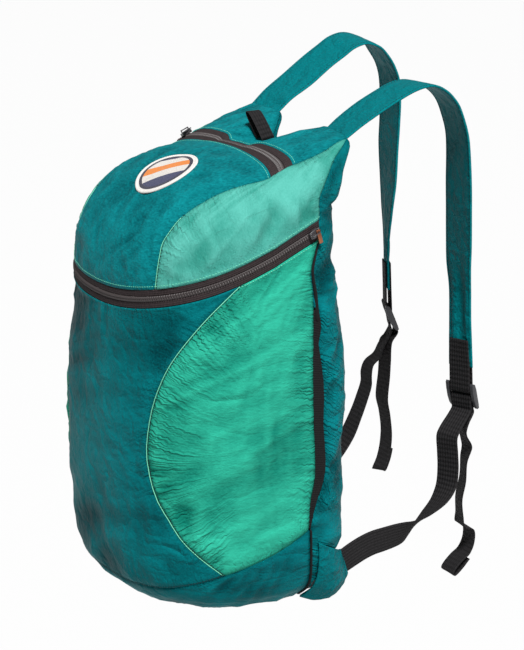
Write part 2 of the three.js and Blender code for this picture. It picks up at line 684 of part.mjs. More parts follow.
// Seams of the lid.
const lidSeamStart = [LID_SEAM_TURN, zipLevel(LID_SEAM_TURN, ZIP_BAND)];
const pocketBack = (x) => POCKET_ZIP_BACK + POCKET_ZIP_BOW * (1 - (x / (0.37 * SACK_WIDTH)) ** 2);
function seamUnder(x, y, surface = plainSack) {
  let u = 0.62 * x / (SACK_WIDTH / 2);
  let v = 0.62 * (y - CROWN_BACK) / (SACK_DEPTH / 2);
  for (let k = 0; k < 30; k += 1) {
    const at = surface(...lidSeam([u, v]));
    const du = surface(...lidSeam([u + 0.002, v])).sub(at).divideScalar(0.002);
    const dv = surface(...lidSeam([u, v + 0.002])).sub(at).divideScalar(0.002);
    const det = du.x * dv.y - du.y * dv.x;
    const ex = x - at.x;
    const ey = y - at.y;
    u += 0.7 * (ex * dv.y - ey * dv.x) / det;
    v += 0.7 * (du.x * ey - du.y * ex) / det;
  }
  return lidSeam([u, v]);
}
const pocketEnd = 0.365 * SACK_WIDTH;
const pocketLine = (offset, steps) => evenly(-pocketEnd, pocketEnd, steps).map((x) => (
  seamUnder(x, pocketBack(x) + offset)));
const halfBand = POCKET_ZIP_BAND / 2;
const COLS_LID = COLS_FRONT * LID_SEAM_TURN / LEAF_TOP_TURN;
const pocketFront = pocketLine(-halfBand, COLS_LID);
const pocketRear = pocketLine(halfBand, COLS_LID);
const lidFrontSeam = resample(
  [lidSeamStart, ...LID_FRONT_SEAM.slice(1, -1), pocketFront[COLS_LID]], ROWS_LID, seamScale);
const pocketEndLine = [pocketFront[COLS_LID], seamUnder(pocketEnd, pocketBack(pocketEnd)),
  pocketRear[COLS_LID]];
const tip = [OUTER_TURN, BACK_EDGE];
const turnsLidSide = turnsBand.filter((t) => t >= LID_SEAM_TURN - 1e-6);
const COLS_SIDE = turnsLidSide.length - 1;
const yokeSide = resample(
  [pocketRear[COLS_LID], [121, 1.537], [129, 1.530], tip],
  COLS_SIDE - 2 - (ROWS_LID - LID_BEND), [1.6, 140]);
const lidRear = resample(
  [[ZIP_END_TURN, zipLevel(ZIP_END_TURN, ZIP_BAND)], ...LID_REAR_SEAM.slice(1), tip],
  LID_BEND, [2.2, 140]);
const rootTurns = [
  ...evenly(OUTER_TURN, INNER_TURN, COLS_BACK / 4),
  ...evenly(INNER_TURN, 360 - INNER_TURN, COLS_BACK / 2).slice(1),
  ...evenly(360 - INNER_TURN, 360 - OUTER_TURN, COLS_BACK / 4).slice(1),
];
const rootLevel = (turn) => {
  const share = (Math.abs(turn) - OUTER_TURN) / (INNER_TURN - OUTER_TURN);
  return BACK_EDGE + ROOT_BOW * 4 * Math.max(0, share * (1 - share));
};
const backEdge = rootTurns.map((t) => [t, rootLevel(turnOff(t))]);

const inLid = (seams) => seams.map(lidDisc);
const lidPatch = (...sides) => patch(...sides.map(inLid)).map((line) => line.map(lidSeam));
const flipSeams = (grid) => grid.map((line) => line.map(([t, v]) => [-t, v]).reverse());

const frontSeams = patch(bottomFront, bandLine(turnsFront, 0), mirrored(leafFront).reverse(),
  leafFront);
const leafSeams = patch(bottomLeaf, bandLine(turnsLeaf, 0), leafFront, leafRear);
const tapeSeams = patch([leafRear[TAPE_FIRST], tapeEdge[0]],
  [leafRear[TAPE_LAST], tapeEdge[tapeEdge.length - 1]],
  leafRear.slice(TAPE_FIRST, TAPE_LAST + 1), tapeEdge);
const zipEndLine = evenly(0, ZIP_BAND, 2).map((h) => [ZIP_END_TURN, zipLevel(ZIP_END_TURN, h)]);
const backSide = [
  ...riser,
  ...tapeEdge.slice(1),
  ...leafRear.slice(TAPE_LAST + 1),
  ...zipEndLine.slice(1),
  ...lidRear.slice(1),
];
const backSeams = patch(footBack, backEdge, backSide,
  backSide.map(([t, v]) => [360 - t, v]));
const footSide = (list) => list.map(footDisc);
const underRight = [...bottomLeaf.slice(0, -1), riser[RISER_STEPS]];
const rearRing = [
  ...riser.slice().reverse(),
  ...footBack.slice(1),
  ...riser.slice(1).map(([t, v]) => [360 - t, v]),
];
const bottomSeams = patch(
  footSide(bottomFront.map(([t, v]) => [t, v])),
  footSide(rearRing.slice().reverse()),
  footSide(underRight.map(([t, v]) => [-t, v])),
  footSide(underRight),
).map((line) => line.map(footSeam).reverse());
const lidFrontSeams = lidPatch(
  bandLine(turnsFront.filter((t) => Math.abs(t) <= LID_SEAM_TURN + 1e-6), ZIP_BAND),
  pocketFront, lidFrontSeam.map(([t, v]) => [-t, v]), lidFrontSeam);
const lidSideTop = [
  ...lidFrontSeam.slice(LID_BEND),
  ...pocketEndLine.slice(1),
  ...yokeSide.slice(1),
];
const lidSideSeams = lidPatch(bandLine(turnsLidSide, ZIP_BAND), lidSideTop,
  lidFrontSeam.slice(0, LID_BEND + 1), lidRear);
const yokeSeams = lidPatch(pocketRear, backEdge.slice().reverse(),
  yokeSide.map(([t, v]) => [-t, v]), yokeSide);
const bandSeams = (low, high) => [bandLine(turnsBand, low), bandLine(turnsBand, high)];
const tapeWide = (ZIP_BAND - ZIP_CHAIN) / 2;
const pocketSeams = (low, high) => [pocketLine(low, COLS_LID), pocketLine(high, COLS_LID)];
const pocketTape = (POCKET_ZIP_BAND - ZIP_CHAIN) / 2;

// Frame on the sack: a point lifted off the cloth, the way along the turn, up and outward.
function frameOn(turn, level, lift = 0) {
  const out = sackNormal(turn, level);
  const right = sackPoint(turn + 0.4, level).sub(sackPoint(turn - 0.4, level)).normalize();
  const up = out.clone().cross(right).normalize();
  return { at: sackPoint(turn, level).addScaledVector(out, lift), right, up, out };
}

// Closed ribbon through rows of middle points and directions across, with its thickness evenly
// on both sides. Every row may have its own width, and square (0 to 1) says how far its edge is
// turned square to the way ahead.
function rowFrame(rows, k) {
  const ahead = rows[Math.min(k + 1, rows.length - 1)].at.clone()
    .sub(rows[Math.max(k - 1, 0)].at).normalize();
  const { across, square = 1 } = rows[k];
  const side = across.clone().addScaledVector(ahead, -square * across.dot(ahead)).normalize();
  return { ahead, side, out: side.clone().cross(ahead).normalize() };
}

function ribbon(rows, thickness) {
  const count = rows.length;
  const corners = rows.map(({ at, wide }, k) => {
    const { side, out } = rowFrame(rows, k);
    const corner = (w, n) => at.clone().addScaledVector(side, w * wide / 2)
      .addScaledVector(out, n * thickness / 2);
    return [corner(-1, 1), corner(1, 1), corner(1, -1), corner(-1, -1)];
  });
  const out = [];
  for (let k = 0; k + 1 < count; k += 1) {
    const a = corners[k];
    const b = corners[k + 1];
    for (let c = 0; c < 4; c += 1) {
      const d = (c + 1) % 4;
      quad(out, a[c], a[d], b[d], b[c]);
    }
  }
  const first = corners[0];
  const last = corners[count - 1];
  quad(out, first[3], first[2], first[1], first[0]);
  quad(out, last[0], last[1], last[2], last[3]);
  const solid = solidFrom(out);
  return volumeOf(solid) < 0 ? turnedOut(solid) : solid;
}

function volumeOf(geometry) {
  const p = geometry.getAttribute('position');
  const index = geometry.getIndex();
  const [a, b, c] = [new V3(), new V3(), new V3()];
  let sum = 0;
  for (let k = 0; k < index.count; k += 3) {
    a.fromBufferAttribute(p, index.getX(k));
    b.fromBufferAttribute(p, index.getX(k + 1));
    c.fromBufferAttribute(p, index.getX(k + 2));
    sum += a.dot(b.cross(c)) / 6;
  }
  return sum;
}

function turnedOut(geometry) {
  const index = Array.from(geometry.getIndex().array);
  for (let k = 0; k < index.length; k += 3) {
    [index[k + 1], index[k + 2]] = [index[k + 2], index[k + 1]];
  }
  geometry.setIndex(index);
  return geometry;
}

// Joins and cuts of closed shapes.
function toSolid(geometry) {
  const bare = geometry.clone();
  bare.deleteAttribute('normal');
  bare.deleteAttribute('uv');
  const merged = mergeVertices(bare, 1e-4);
  const count = merged.getAttribute('position').count;
  const triVerts = merged.getIndex() ? merged.getIndex().array : evenly(0, count - 1, count - 1);
  return new wasm.Manifold(new wasm.Mesh({
    numProp: 3,
    vertProperties: new Float32Array(merged.getAttribute('position').array),
    triVerts: new Uint32Array(triVerts),
  }));
}

function joined(geometries, cuts = []) {
  let solid = toSolid(geometries[0]);
  for (const g of geometries.slice(1)) solid = solid.add(toSolid(g));
  for (const g of cuts) solid = solid.subtract(toSolid(g));
  const mesh = solid.getMesh();
  const geometry = new THREE.BufferGeometry();
  const stride = mesh.numProp;
  const flat = [];
  for (let k = 0; k < mesh.vertProperties.length; k += stride) {
    flat.push(...mesh.vertProperties.slice(k, k + 3));
  }
  geometry.setAttribute('position', new THREE.Float32BufferAttribute(flat, 3));
  geometry.setIndex(Array.from(mesh.triVerts));
  return geometry;
}

// Box between two corners.
function block(x0, x1, y0, y1, z0, z1) {
  return new THREE.BoxGeometry(x1 - x0, y1 - y0, z1 - z0)
    .translate((x0 + x1) / 2, (y0 + y1) / 2, (z0 + z1) / 2);
}

// Places a geometry drawn in (right, up, out) onto a frame.
function placed(geometry, { at, right, up, out }) {
  return geometry.applyMatrix4(new THREE.Matrix4().makeBasis(right, up, out).setPosition(at));
}

const bag = new THREE.Group();
function add(name, geometry, colour, roughness, metalness = 0) {
  const mesh = new THREE.Mesh(geometry, new THREE.MeshStandardMaterial({
    color: colour, roughness, metalness, side: THREE.DoubleSide,
  }));
  mesh.name = name;
  geometry.computeVertexNormals();
  bag.add(mesh);
  return mesh;
}
const TEAL = '#0b6f73';
const MINT = '#36bf97';
const BLACK = '#242223';
const ZIP = '#3b3334';
const COPPER = '#c08a6c';

// Sack panels
add('front_panel', panel(frontSeams), TEAL, 0.55);
add('side_panel_right', panel(leafSeams), MINT, 0.5);
add('side_panel_left', panel(flipSeams(leafSeams)), MINT, 0.5);
add('back_panel', panel(backSeams, CLOTH, 0, SEAM_GAP), TEAL, 0.55);
add('bottom_panel', panel(bottomSeams), TEAL, 0.55);
add('seam_tape_right', panel(tapeSeams), BLACK, 0.7);
add('seam_tape_left', panel(flipSeams(tapeSeams)), BLACK, 0.7);
add('lid_front_panel', panel(lidFrontSeams), TEAL, 0.55);
add('lid_side_right', panel(lidSideSeams), MINT, 0.5);
add('lid_side_left', panel(flipSeams(lidSideSeams)), MINT, 0.5);
add('yoke_panel', panel(yokeSeams), TEAL, 0.55);

// Main zip
add('main_zip_tape_lower', panel(bandSeams(0, tapeWide), TAPE), ZIP, 0.75);
add('main_zip_tape_upper', panel(bandSeams(tapeWide + ZIP_CHAIN, ZIP_BAND), TAPE), ZIP, 0.75);
add('main_zip_chain', panel(bandSeams(tapeWide, tapeWide + ZIP_CHAIN), TAPE + 2 * CHAIN_LIFT,
  CHAIN_LIFT), BLACK, 0.5);

// Pocket zip
add('pocket_zip_tape_front', panel(pocketSeams(-halfBand, -ZIP_CHAIN / 2), TAPE), ZIP, 0.75);
add('pocket_zip_tape_rear', panel(pocketSeams(ZIP_CHAIN / 2, halfBand), TAPE), ZIP, 0.75);
add('pocket_zip_chain', panel(pocketSeams(-ZIP_CHAIN / 2, ZIP_CHAIN / 2), TAPE + 2 * CHAIN_LIFT,
  CHAIN_LIFT), BLACK, 0.5);

// Slider drawn with the zip along x and its face along z: a waisted body with a bail over it.
const SLIDER_HEIGHT = 3;
const BAIL = 1.2;
const BAIL_RISE = 1.9;
const PLAY = 0.3;
function sliderBody() {
  const half = SLIDER_LENGTH / 2;
  const wide = SLIDER_WIDTH / 2;
  const plan = new THREE.Shape([
    [-half, -wide * 0.66], [-half * 0.6, -wide * 0.8], [half * 0.2, -wide], [half * 0.85, -wide],
    [half, -wide * 0.7], [half, wide * 0.7], [half * 0.85, wide], [half * 0.2, wide],
    [-half * 0.6, wide * 0.8], [-half, wide * 0.66],
  ].map(([x, y]) => new THREE.Vector2(x, y)));
  const body = new THREE.ExtrudeGeometry(plan, { depth: SLIDER_HEIGHT, bevelEnabled: false });
  const top = SLIDER_HEIGHT;
  const reach = SLIDER_LENGTH * 0.32;
  const over = top + PLAY + RIBBON + BAIL_RISE;
  return joined([
    body,
    block(-reach - BAIL, -reach, -BAIL / 2, BAIL / 2, top - 0.5, over),
    block(reach, reach + BAIL, -BAIL / 2, BAIL / 2, top - 0.5, over),
    block(-reach - BAIL, reach + BAIL, -BAIL / 2, BAIL / 2, over - BAIL, over),
  ]);
}
// Pull hanging from the bail: a plate whose eye goes round the bail's leg at x = leg.
function pullPlate(leg, wide, angle) {
  const eye = BAIL / 2 + PLAY + 0.1;
  const plate = joined(
    [block(-wide / 2, wide / 2, -PULL_LENGTH + 3, eye + 1.5, 0, 1)],
    [block(-eye, eye, -eye, eye, -1, 2)],
  );
  plate.rotateZ(angle);
  plate.translate(leg, 0, SLIDER_HEIGHT + PLAY);
  return plate;
}
const sliderLift = CHAIN_LIFT + PLAY + 0.1;
const bailLeg = SLIDER_LENGTH * 0.32 + BAIL / 2;
const zipMiddle = (turn) => zipLevel(turn, ZIP_BAND / 2);
const MAIN_SLIDER_TURN = 114.6;
const mainSlider = frameOn(MAIN_SLIDER_TURN, zipMiddle(MAIN_SLIDER_TURN), sliderLift);
add('main_zip_slider', placed(sliderBody(), mainSlider), BLACK, 0.4, 0.5);
add('main_zip_pull', placed(pullPlate(bailLeg, 4.4, -0.15), mainSlider), COPPER, 0.35, 0.8);
const pocketX = -pocketEnd + SLIDER_LENGTH * 0.75;
const pocketSlider = frameOn(...seamUnder(pocketX, pocketBack(pocketX)), sliderLift);
add('pocket_zip_slider', placed(sliderBody(), pocketSlider), BLACK, 0.4, 0.5);
add('pocket_zip_pull', placed(pullPlate(-bailLeg, 4.4, 2.2), pocketSlider), BLACK, 0.4, 0.5);

// Round sewn patch on the lid's front
const PATCH_OUT = 0.088;       // patch middle beside the sack's middle, share of half the width
const PATCH_FORWARD = -0.456;  // and in front of it, share of half the depth
const PATCH_LIFT = 0.45;
function patchGrid(lift) {
  const [turn, level] = seamUnder(PATCH_OUT * SACK_WIDTH / 2, PATCH_FORWARD * SACK_DEPTH / 2);
  const { at, right, up, out } = frameOn(turn, level);
  const ringShares = [1, 0.66, 0.33, 0];
  return ringShares.map((share) => evenly(0, 360, 24).map((angle) => {
    const p = Math.cos(angle * DEG) * share * PATCH_DIAMETER / 2;
    const q = Math.sin(angle * DEG) * share * PATCH_DIAMETER / 2;
    let [u, v] = lidDisc([turn, level]);
    for (let k = 0; k < 12; k += 1) {
      const here = sackPoint(...lidSeam([u, v]));
      const du = sackPoint(...lidSeam([u + 0.004, v])).sub(here).divideScalar(0.004);
      const dv = sackPoint(...lidSeam([u, v + 0.004])).sub(here).divideScalar(0.004);
      const gap = here.sub(at);
      const [ex, ey] = [p - gap.dot(right), q - gap.dot(up)];
      const det = du.dot(right) * dv.dot(up) - du.dot(up) * dv.dot(right);
      u += (ex * dv.dot(up) - ey * dv.dot(right)) / det;
      v += (du.dot(right) * ey - du.dot(up) * ex) / det;
    }
    const seam = lidSeam([u, v]);
    return sackPoint(...seam).addScaledVector(sackNormal(...seam), lift);
  }));
}
const closeGrid = (grid) => grid.map((line, j) => (
  line.map((p, i) => (j === grid.length - 1 || i === line.length - 1 ? grid[j][0] : p))));
add('emblem_patch', sheetBetween(
  closeGrid(patchGrid(PATCH_LIFT + PATCH_THICKNESS)), closeGrid(patchGrid(PATCH_LIFT)), true,
), '#e9e4d6', 0.8);

// Hang loop standing on the yoke: a ribbon arch that leans forward and to the left.
const LOOP_SIDE = -0.088;      // middle of its foot, share of half the sack's width
const LOOP_BACK = 0.660;       // share of half the sack's depth
const LOOP_LEAN = [-0.62, -0.20];
const topAt = (x, y) => sackPoint(...seamUnder(x, y, sackPoint)).z;
function loopRows() {
  const x0 = LOOP_SIDE * SACK_WIDTH / 2;
  const y0 = LOOP_BACK * SACK_DEPTH / 2;
  const half = LOOP_SPAN / 2;
  const foot = (x) => PLAY + 1.3 + Math.max(...[-0.5, 0, 0.5].map((share) => (
    topAt(x, y0 + share * LOOP_WIDTH))));
  const feet = [foot(x0 + half), foot(x0 - half)];
  const steps = 16;
  return evenly(0, 1, steps).map((share) => {
    const angle = Math.PI * share;
    const side = half * Math.sign(Math.cos(angle)) * Math.abs(Math.cos(angle)) ** 0.7;
    const high = LOOP_HEIGHT * Math.sin(angle) ** 0.75;
    const base = feet[0] + (feet[1] - feet[0]) * share;
    return {
      at: new V3(x0 + side + LOOP_LEAN[0] * high, y0 + LOOP_LEAN[1] * high, base + high),
      across: new V3(0, 1, 0),
      wide: LOOP_WIDTH,
    };
  });
}
add('hang_loop', ribbon(loopRows(), RIBBON), BLACK, 0.8);

// One side's strap, lock, webbing and corner tab
function harness(name) {
  const { side, tilt } = ROOTS[name];
  const dir = (x, y, z) => new V3(side * x, y, z).normalize();
  const [inCorner, outCorner] = [INNER_TURN, OUTER_TURN].map((t) => sackPoint(side * t, BACK_EDGE));
  const root = inCorner.clone().lerp(outCorner, 0.5);
  const rootAcross = outCorner.clone().sub(inCorner).normalize();
  const table = STRAP_ROUTES[name].map((r) => {
    const yaw = r[YAW] * DEG;
    const roll = r[ROLL] * DEG;
    return [
      side * STRAP_SPREAD / 2,
      root.y + r[REACH] * STRAP_REACH,
      root.z + r[RISE] * STRAP_ARCH - r[DROP] * STRAP_DROP,
      STRAP_WIDTH * r[WIDE],
      side * Math.cos(yaw) * Math.cos(roll),
      Math.sin(yaw) * Math.cos(roll),
      Math.sin(roll),
    ];
  });
  const lead = new V3(0, 0.78, 0.62).normalize();
  const seamBow = Math.max(...evenly(INNER_TURN, OUTER_TURN, COLS_BACK / 4).map((t) => {
    const gap = sackPoint(side * t, rootLevel(t)).sub(root);
    return gap.addScaledVector(rootAcross, -gap.dot(rootAcross)).dot(lead);
  }));
  const start = root.clone().addScaledVector(lead, seamBow + SEAM_GAP + 0.6);
  table.unshift([start.x, start.y, start.z, STRAP_WIDTH, ...rootAcross.toArray()]);
  const strapAt = routeThrough(table);
  const strapSteps = 44;
  const rows = evenly(0, 1, strapSteps).map((s, k) => {
    const [x, y, z, wide, ax, ay, az] = strapAt(s);
    return {
      at: new V3(x, y, z),
      across: new V3(ax, ay, az).normalize(),
      wide,
      square: Math.min(k / 4, 1),
    };
  });
  add(`shoulder_strap_${name}`, ribbon(rows, STRAP_THICKNESS), TEAL, 0.5);

  // Lock frame: middle of the top bar, across, down, outward.
  const end = rows[strapSteps];
  const down = end.at.clone().sub(rows[strapSteps - 2].at).normalize();
  const across = end.across.clone().addScaledVector(down, -end.across.dot(down)).normalize();
  const outward = across.clone().cross(down).multiplyScalar(side).normalize();
  if (outward.y < 0) outward.negate();
  const bar = end.at.clone().addScaledVector(down, LOCK_HANG);
  const lean = tilt * DEG;
  const lockDown = down.clone().multiplyScalar(Math.cos(lean))
    .addScaledVector(outward, Math.sin(lean));
  const lockOut = outward.clone().multiplyScalar(Math.cos(lean))
    .addScaledVector(down, -Math.sin(lean));
  const inLock = (d, n) => bar.clone().addScaledVector(lockDown, d).addScaledVector(lockOut, n);
  const wrap = LOCK_BAR / 2 + PLAY + 0.1 + WEBBING / 2;

  // Webbing sewn over both faces of the strap's end and looped round the top bar
  const legRows = Math.round(strapSteps * STRAP_OVERLAP / (strapSteps * 9.6)) + 1;
  const legGap = STRAP_THICKNESS / 2 + PLAY + 0.3 + WEBBING / 2;
  const leg = (way) => rows.slice(-legRows).map(({ at, across: a }, i) => {
    const { out } = rowFrame(rows, rows.length - legRows + i);
    if (out.dot(outward) < 0) out.negate();
    return { at: at.clone().addScaledVector(out, way * legGap), across: a, wide: WEBBING_WIDTH };
  });
  const turnRows = evenly(-90, 90, 8).map((angle) => ({
    at: bar.clone().addScaledVector(outward, wrap * Math.sin(angle * DEG))
      .addScaledVector(down, wrap * Math.cos(angle * DEG)),
    across,
    wide: WEBBING_WIDTH,
  }));
  add(`strap_end_webbing_${name}`, ribbon([...leg(-1), ...turnRows, ...leg(1).reverse()],
    WEBBING), BLACK, 0.8);

  // Ladder lock: two curved rails, top and middle bars and a lower lip
  const railIn = WEBBING_WIDTH / 2 + PLAY + 0.4;
  const lockFrame = { at: bar, right: across.clone(), up: lockDown.clone(), out: lockOut.clone() };
  if (lockFrame.right.clone().cross(lockFrame.up).dot(lockFrame.out) < 0) {
    lockFrame.right.negate();
  }
  const above = 0.28 * LOCK_LENGTH;
  const below = LOCK_LENGTH - above;
  const railShape = new THREE.Shape([
    [-above, -0.20], [-above * 0.75, 0.30], [0, 0.50], [below * 0.45, 0.56], [below * 0.8, 0.62],
    [below, 0.55], [below, 0.15], [below * 0.8, -0.20], [below * 0.45, -0.46], [0, -0.50],
    [-above * 0.8, -0.42],
  ].map(([d, n]) => new THREE.Vector2(d, n * LOCK_DEPTH)));
  const rail = (x) => new THREE.ExtrudeGeometry(railShape, {
    depth: LOCK_RAIL, bevelEnabled: false,
  }).applyMatrix4(new THREE.Matrix4().makeBasis(
    new V3(0, 1, 0), new V3(0, 0, 1), new V3(1, 0, 0),
  ).setPosition(x, 0, 0));
  const barAt = (d, n) => new THREE.CylinderGeometry(LOCK_BAR / 2, LOCK_BAR / 2,
    2 * railIn + 2, 8).rotateZ(Math.PI / 2).translate(0, d, n);
  const lipDown = below - 2.6;
  const lock = joined([
    rail(railIn), rail(-railIn - LOCK_RAIL), barAt(0, 0), barAt(BAR_STEP, 0.4),
    block(-railIn - 1, railIn + 1, lipDown - 0.8, lipDown + 2.4, 2.2, 4.0),
  ]);
  add(`ladder_lock_${name}`, placed(lock, lockFrame), '#4a4a4c', 0.45);

  // Adjusting webbing: free tail, up behind the middle bar, over it and down to the corner tab
  const tabTip = new V3(side * TAB_TIP[0] * SACK_WIDTH / 2, TAB_TIP[1] * SACK_DEPTH / 2,
    TAB_TIP[2] * CROWN_HEIGHT);
  const leave = inLock(lipDown + 6, 0);
  const tail = TAIL_ROUTES[name].map(([back, fall, ...a]) => [
    leave.x, leave.y + back * TAIL_DROP, leave.z - fall * TAIL_DROP, ...dir(...a).toArray(),
  ]).reverse();
  const lockAcross = across.toArray();
  const inRow = (d, n) => [...inLock(d, n).toArray(), ...lockAcross];
  const front = inLock(lipDown + 4, -4.6);
  const load = WEBBING_ROUTES[name].map(([share, high, ...a]) => [
    front.x + (tabTip.x - front.x) * share,
    front.y + (tabTip.y - front.y) * share,
    tabTip.z + (front.z - tabTip.z) * high,
    ...dir(...a).toArray(),
  ]);
  const tabAcross = dir(...TAB_ACROSS);
  const webbing = [
    ...tail,
    inRow(lipDown + 6, -0.2), inRow(lipDown + 1, -0.3),
    inRow(BAR_STEP + 4.4, 2.6), inRow(BAR_STEP + 1, 0.4 + wrap),
    inRow(BAR_STEP - wrap * 0.75, 0.4 + wrap * 0.72), inRow(BAR_STEP - wrap * 1.04, 0.2),
    inRow(BAR_STEP - wrap * 0.75, 0.4 - wrap * 0.8), inRow(BAR_STEP + 1, 0.2 - wrap),
    inRow(lipDown - 3, -3.6), inRow(lipDown + 3, -4.4),
    ...load,
    [...tabTip.toArray(), ...tabAcross.toArray()],
  ];
  const web = routeRows(webbing, 12).map(([x, y, z, ...a]) => ({
    at: new V3(x, y, z), across: new V3(...a).normalize(), wide: WEBBING_WIDTH,
  }));
  add(`adjuster_webbing_${name}`, ribbon(web, WEBBING), BLACK, 0.8);

  // Corner tab between the sack's lower rear corner and the webbing
  const steps = 4;
  const cols = 4;
  const reach = rowFrame(web, web.length - 1).ahead;
  const tabEdge = tabAcross.clone().addScaledVector(reach, -tabAcross.dot(reach)).normalize();
  const grid = evenly(0, 1, steps).map((s) => evenly(0, 1, cols).map((u, i) => {
    const [turn, level] = [0, 1].map((c) => TAB_FEET[0][c] + (TAB_FEET[1][c] - TAB_FEET[0][c]) * u);
    const foot = frameOn(side * turn, level, PLAY + 0.3 + TAB_THICKNESS / 2).at;
    const far = tabTip.clone().addScaledVector(tabEdge, (u - 0.5) * (WEBBING_WIDTH + 2));
    far.addScaledVector(reach, PLAY + 0.6);
    const bow = 4 * s * (1 - s);
    const low = TAB_BULGE * bow * (1 - u);
    return foot.lerp(far, s).add(new V3(side * TAB_SWELL * bow, 0.2 * low, -low));
  }));
  const faces = grid.map((line, j) => line.map((p, i) => {
    const a = grid[Math.min(j + 1, steps)][i].clone().sub(grid[Math.max(j - 1, 0)][i]);
    const b = line[Math.min(i + 1, cols)].clone().sub(line[Math.max(i - 1, 0)]);
    return a.cross(b).normalize();
  }));
  const shifted = (by) => grid.map((line, j) => (
    line.map((p, i) => p.clone().addScaledVector(faces[j][i], by))));
  const tab = sheetBetween(shifted(TAB_THICKNESS / 2), shifted(-TAB_THICKNESS / 2));
  add(`corner_tab_${name}`, volumeOf(tab) < 0 ? turnedOut(tab) : tab, TEAL, 0.55);
  return Math.max(...rows.map(({ at }) => at.z)) - STRAP_THICKNESS / 2;
}

// The frame hangs from the point midway between the crowns of the straps.
const crowns = Object.keys(ROOTS).map(harness);
const crownOver = Object.keys(ROOTS).map((name) => {
  const row = STRAP_ROUTES[name].reduce((a, b) => (b[RISE] - 5 * b[DROP] > a[RISE] ? b : a));
  const { inner, outer } = ROOTS[name];
  return (inner[0] + outer[0]) * SACK_DEPTH / 4 + row[REACH] * STRAP_REACH;
});
bag.position.set(0, -(crownOver[0] + crownOver[1]) / 2, -(crowns[0] + crowns[1]) / 2);

const group = new THREE.Group();
group.add(bag);
export default group;
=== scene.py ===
# %% [markdown]
# # A packable backpack of thin ripstop nylon
# The real pack is a soft sack sewn from eleven thin panels, closed by one long zip that climbs
# from the front to the back, with flat straps and webbing. It is shown worn, so it is full and its
# straps arch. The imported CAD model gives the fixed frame. Cloth like this could be sculpted or
# simulated, but here it is laid over the frame as surfaces worked out from named sizes and short
# tables, so that it comes out the same each time and any fold can be changed by one number.

# %% The fixed frame
import json
import math

import bmesh
import bpy
import numpy as np
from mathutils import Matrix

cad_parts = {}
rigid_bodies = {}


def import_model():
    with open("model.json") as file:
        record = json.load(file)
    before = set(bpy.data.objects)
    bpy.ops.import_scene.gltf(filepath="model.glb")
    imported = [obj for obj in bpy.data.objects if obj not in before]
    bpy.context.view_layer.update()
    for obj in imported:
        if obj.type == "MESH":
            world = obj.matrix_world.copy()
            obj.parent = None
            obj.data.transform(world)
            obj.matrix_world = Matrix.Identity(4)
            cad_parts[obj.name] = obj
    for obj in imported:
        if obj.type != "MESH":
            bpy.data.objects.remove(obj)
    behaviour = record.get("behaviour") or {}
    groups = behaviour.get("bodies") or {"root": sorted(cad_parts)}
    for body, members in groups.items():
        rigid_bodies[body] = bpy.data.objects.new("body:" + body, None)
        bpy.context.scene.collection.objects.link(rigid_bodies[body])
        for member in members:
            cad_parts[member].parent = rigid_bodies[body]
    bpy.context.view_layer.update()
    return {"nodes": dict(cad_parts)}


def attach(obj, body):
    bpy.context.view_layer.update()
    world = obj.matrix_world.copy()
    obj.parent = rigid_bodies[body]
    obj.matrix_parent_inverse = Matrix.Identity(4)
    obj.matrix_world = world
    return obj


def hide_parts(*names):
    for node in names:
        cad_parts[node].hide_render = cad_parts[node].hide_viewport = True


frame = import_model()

print("nodes in the frame:", len(frame["nodes"]))

# %% [markdown]
# ## Sizes
# Lengths are in millimetres while shapes are worked out, with the origin under the middle of the
# sack at its foot, because a maker would measure the pack from there. The last step of every piece
# moves it to the frame's origin between the shoulder straps and turns it into metres.

# %% Named sizes
SACK_WIDTH, SACK_DEPTH = 272.0, 228.0
WALL_HEIGHT, ZIP_RISE = 306.0, 104.0
CROWN_HEIGHT, CROWN_BACK = 448.0, 38.0
SIDE_FALL, FRONT_FALL, BACK_FALL = 10.0, 11.0, 6.0
FOOT_DEPTH, FRONT_LIFT = 6.0, 6.0
CLOTH = 1.4
ZIP_BAND, ZIP_CHAIN, TAPE = 18.0, 5.2, 1.2
POCKET_ZIP_BAND, POCKET_ZIP_BACK, POCKET_ZIP_BOW = 17.0, 20.0, 11.0
SEAM_TAPE_WIDTH = 12.0
PATCH_DIAMETER = 66.0
LOOP_WIDTH, LOOP_HEIGHT, LOOP_SPAN = 15.0, 25.0, 12.0
STRAP_SPREAD, STRAP_WIDTH, STRAP_THICKNESS = 144.0, 50.0, 2.4
STRAP_REACH, STRAP_ARCH, STRAP_DROP = 150.0, 66.0, 300.0
WEBBING_WIDTH, WEBBING, TAIL_DROP = 25.0, 1.5, 180.0
LOCK_LENGTH, LOCK_BAR, BAR_STEP, LOCK_HANG = 30.0, 3.2, 8.2, 25.0
ROOT_LAP = 3.0                   # how far a strap starts inside the yoke's seam
ORIGIN = np.array([0.0, 205.602, 517.012])


def metres(points):
    """Millimetres from the sack's foot to metres from the frame's origin."""
    return (np.asarray(points, float) - ORIGIN) / 1000.0


print("sack:", SACK_WIDTH, "wide,", SACK_DEPTH, "deep,", CROWN_HEIGHT, "high, in mm")


# %% [markdown]
# ## The worn sack as one surface
# A full soft sack has no straight lines, but it is regular: at each height its outline is a rounded
# rectangle, and above the zip it closes over to a crown. So a point is named by its turn (degrees
# round from the middle of the front) and its level (0 at the foot, 1 at the zip line, 2 at the
# crown), and a few measured sections say how wide, deep and square the outline is at each level.

# %% Sections
# level, half width, front depth, back depth (shares), squareness in front and behind
SECTIONS = np.array([
    [0.000, 0.790, 0.405, 0.368, 2.6, 3.6],
    [0.046, 0.897, 0.474, 0.424, 2.6, 3.8],
    [0.131, 0.960, 0.528, 0.444, 2.7, 4.2],
    [0.294, 0.988, 0.540, 0.450, 2.8, 4.4],
    [0.523, 1.000, 0.548, 0.440, 2.8, 4.4],
    [0.752, 0.993, 0.544, 0.418, 2.8, 4.3],
    [1.000, 0.956, 0.513, 0.402, 2.8, 3.9],
])
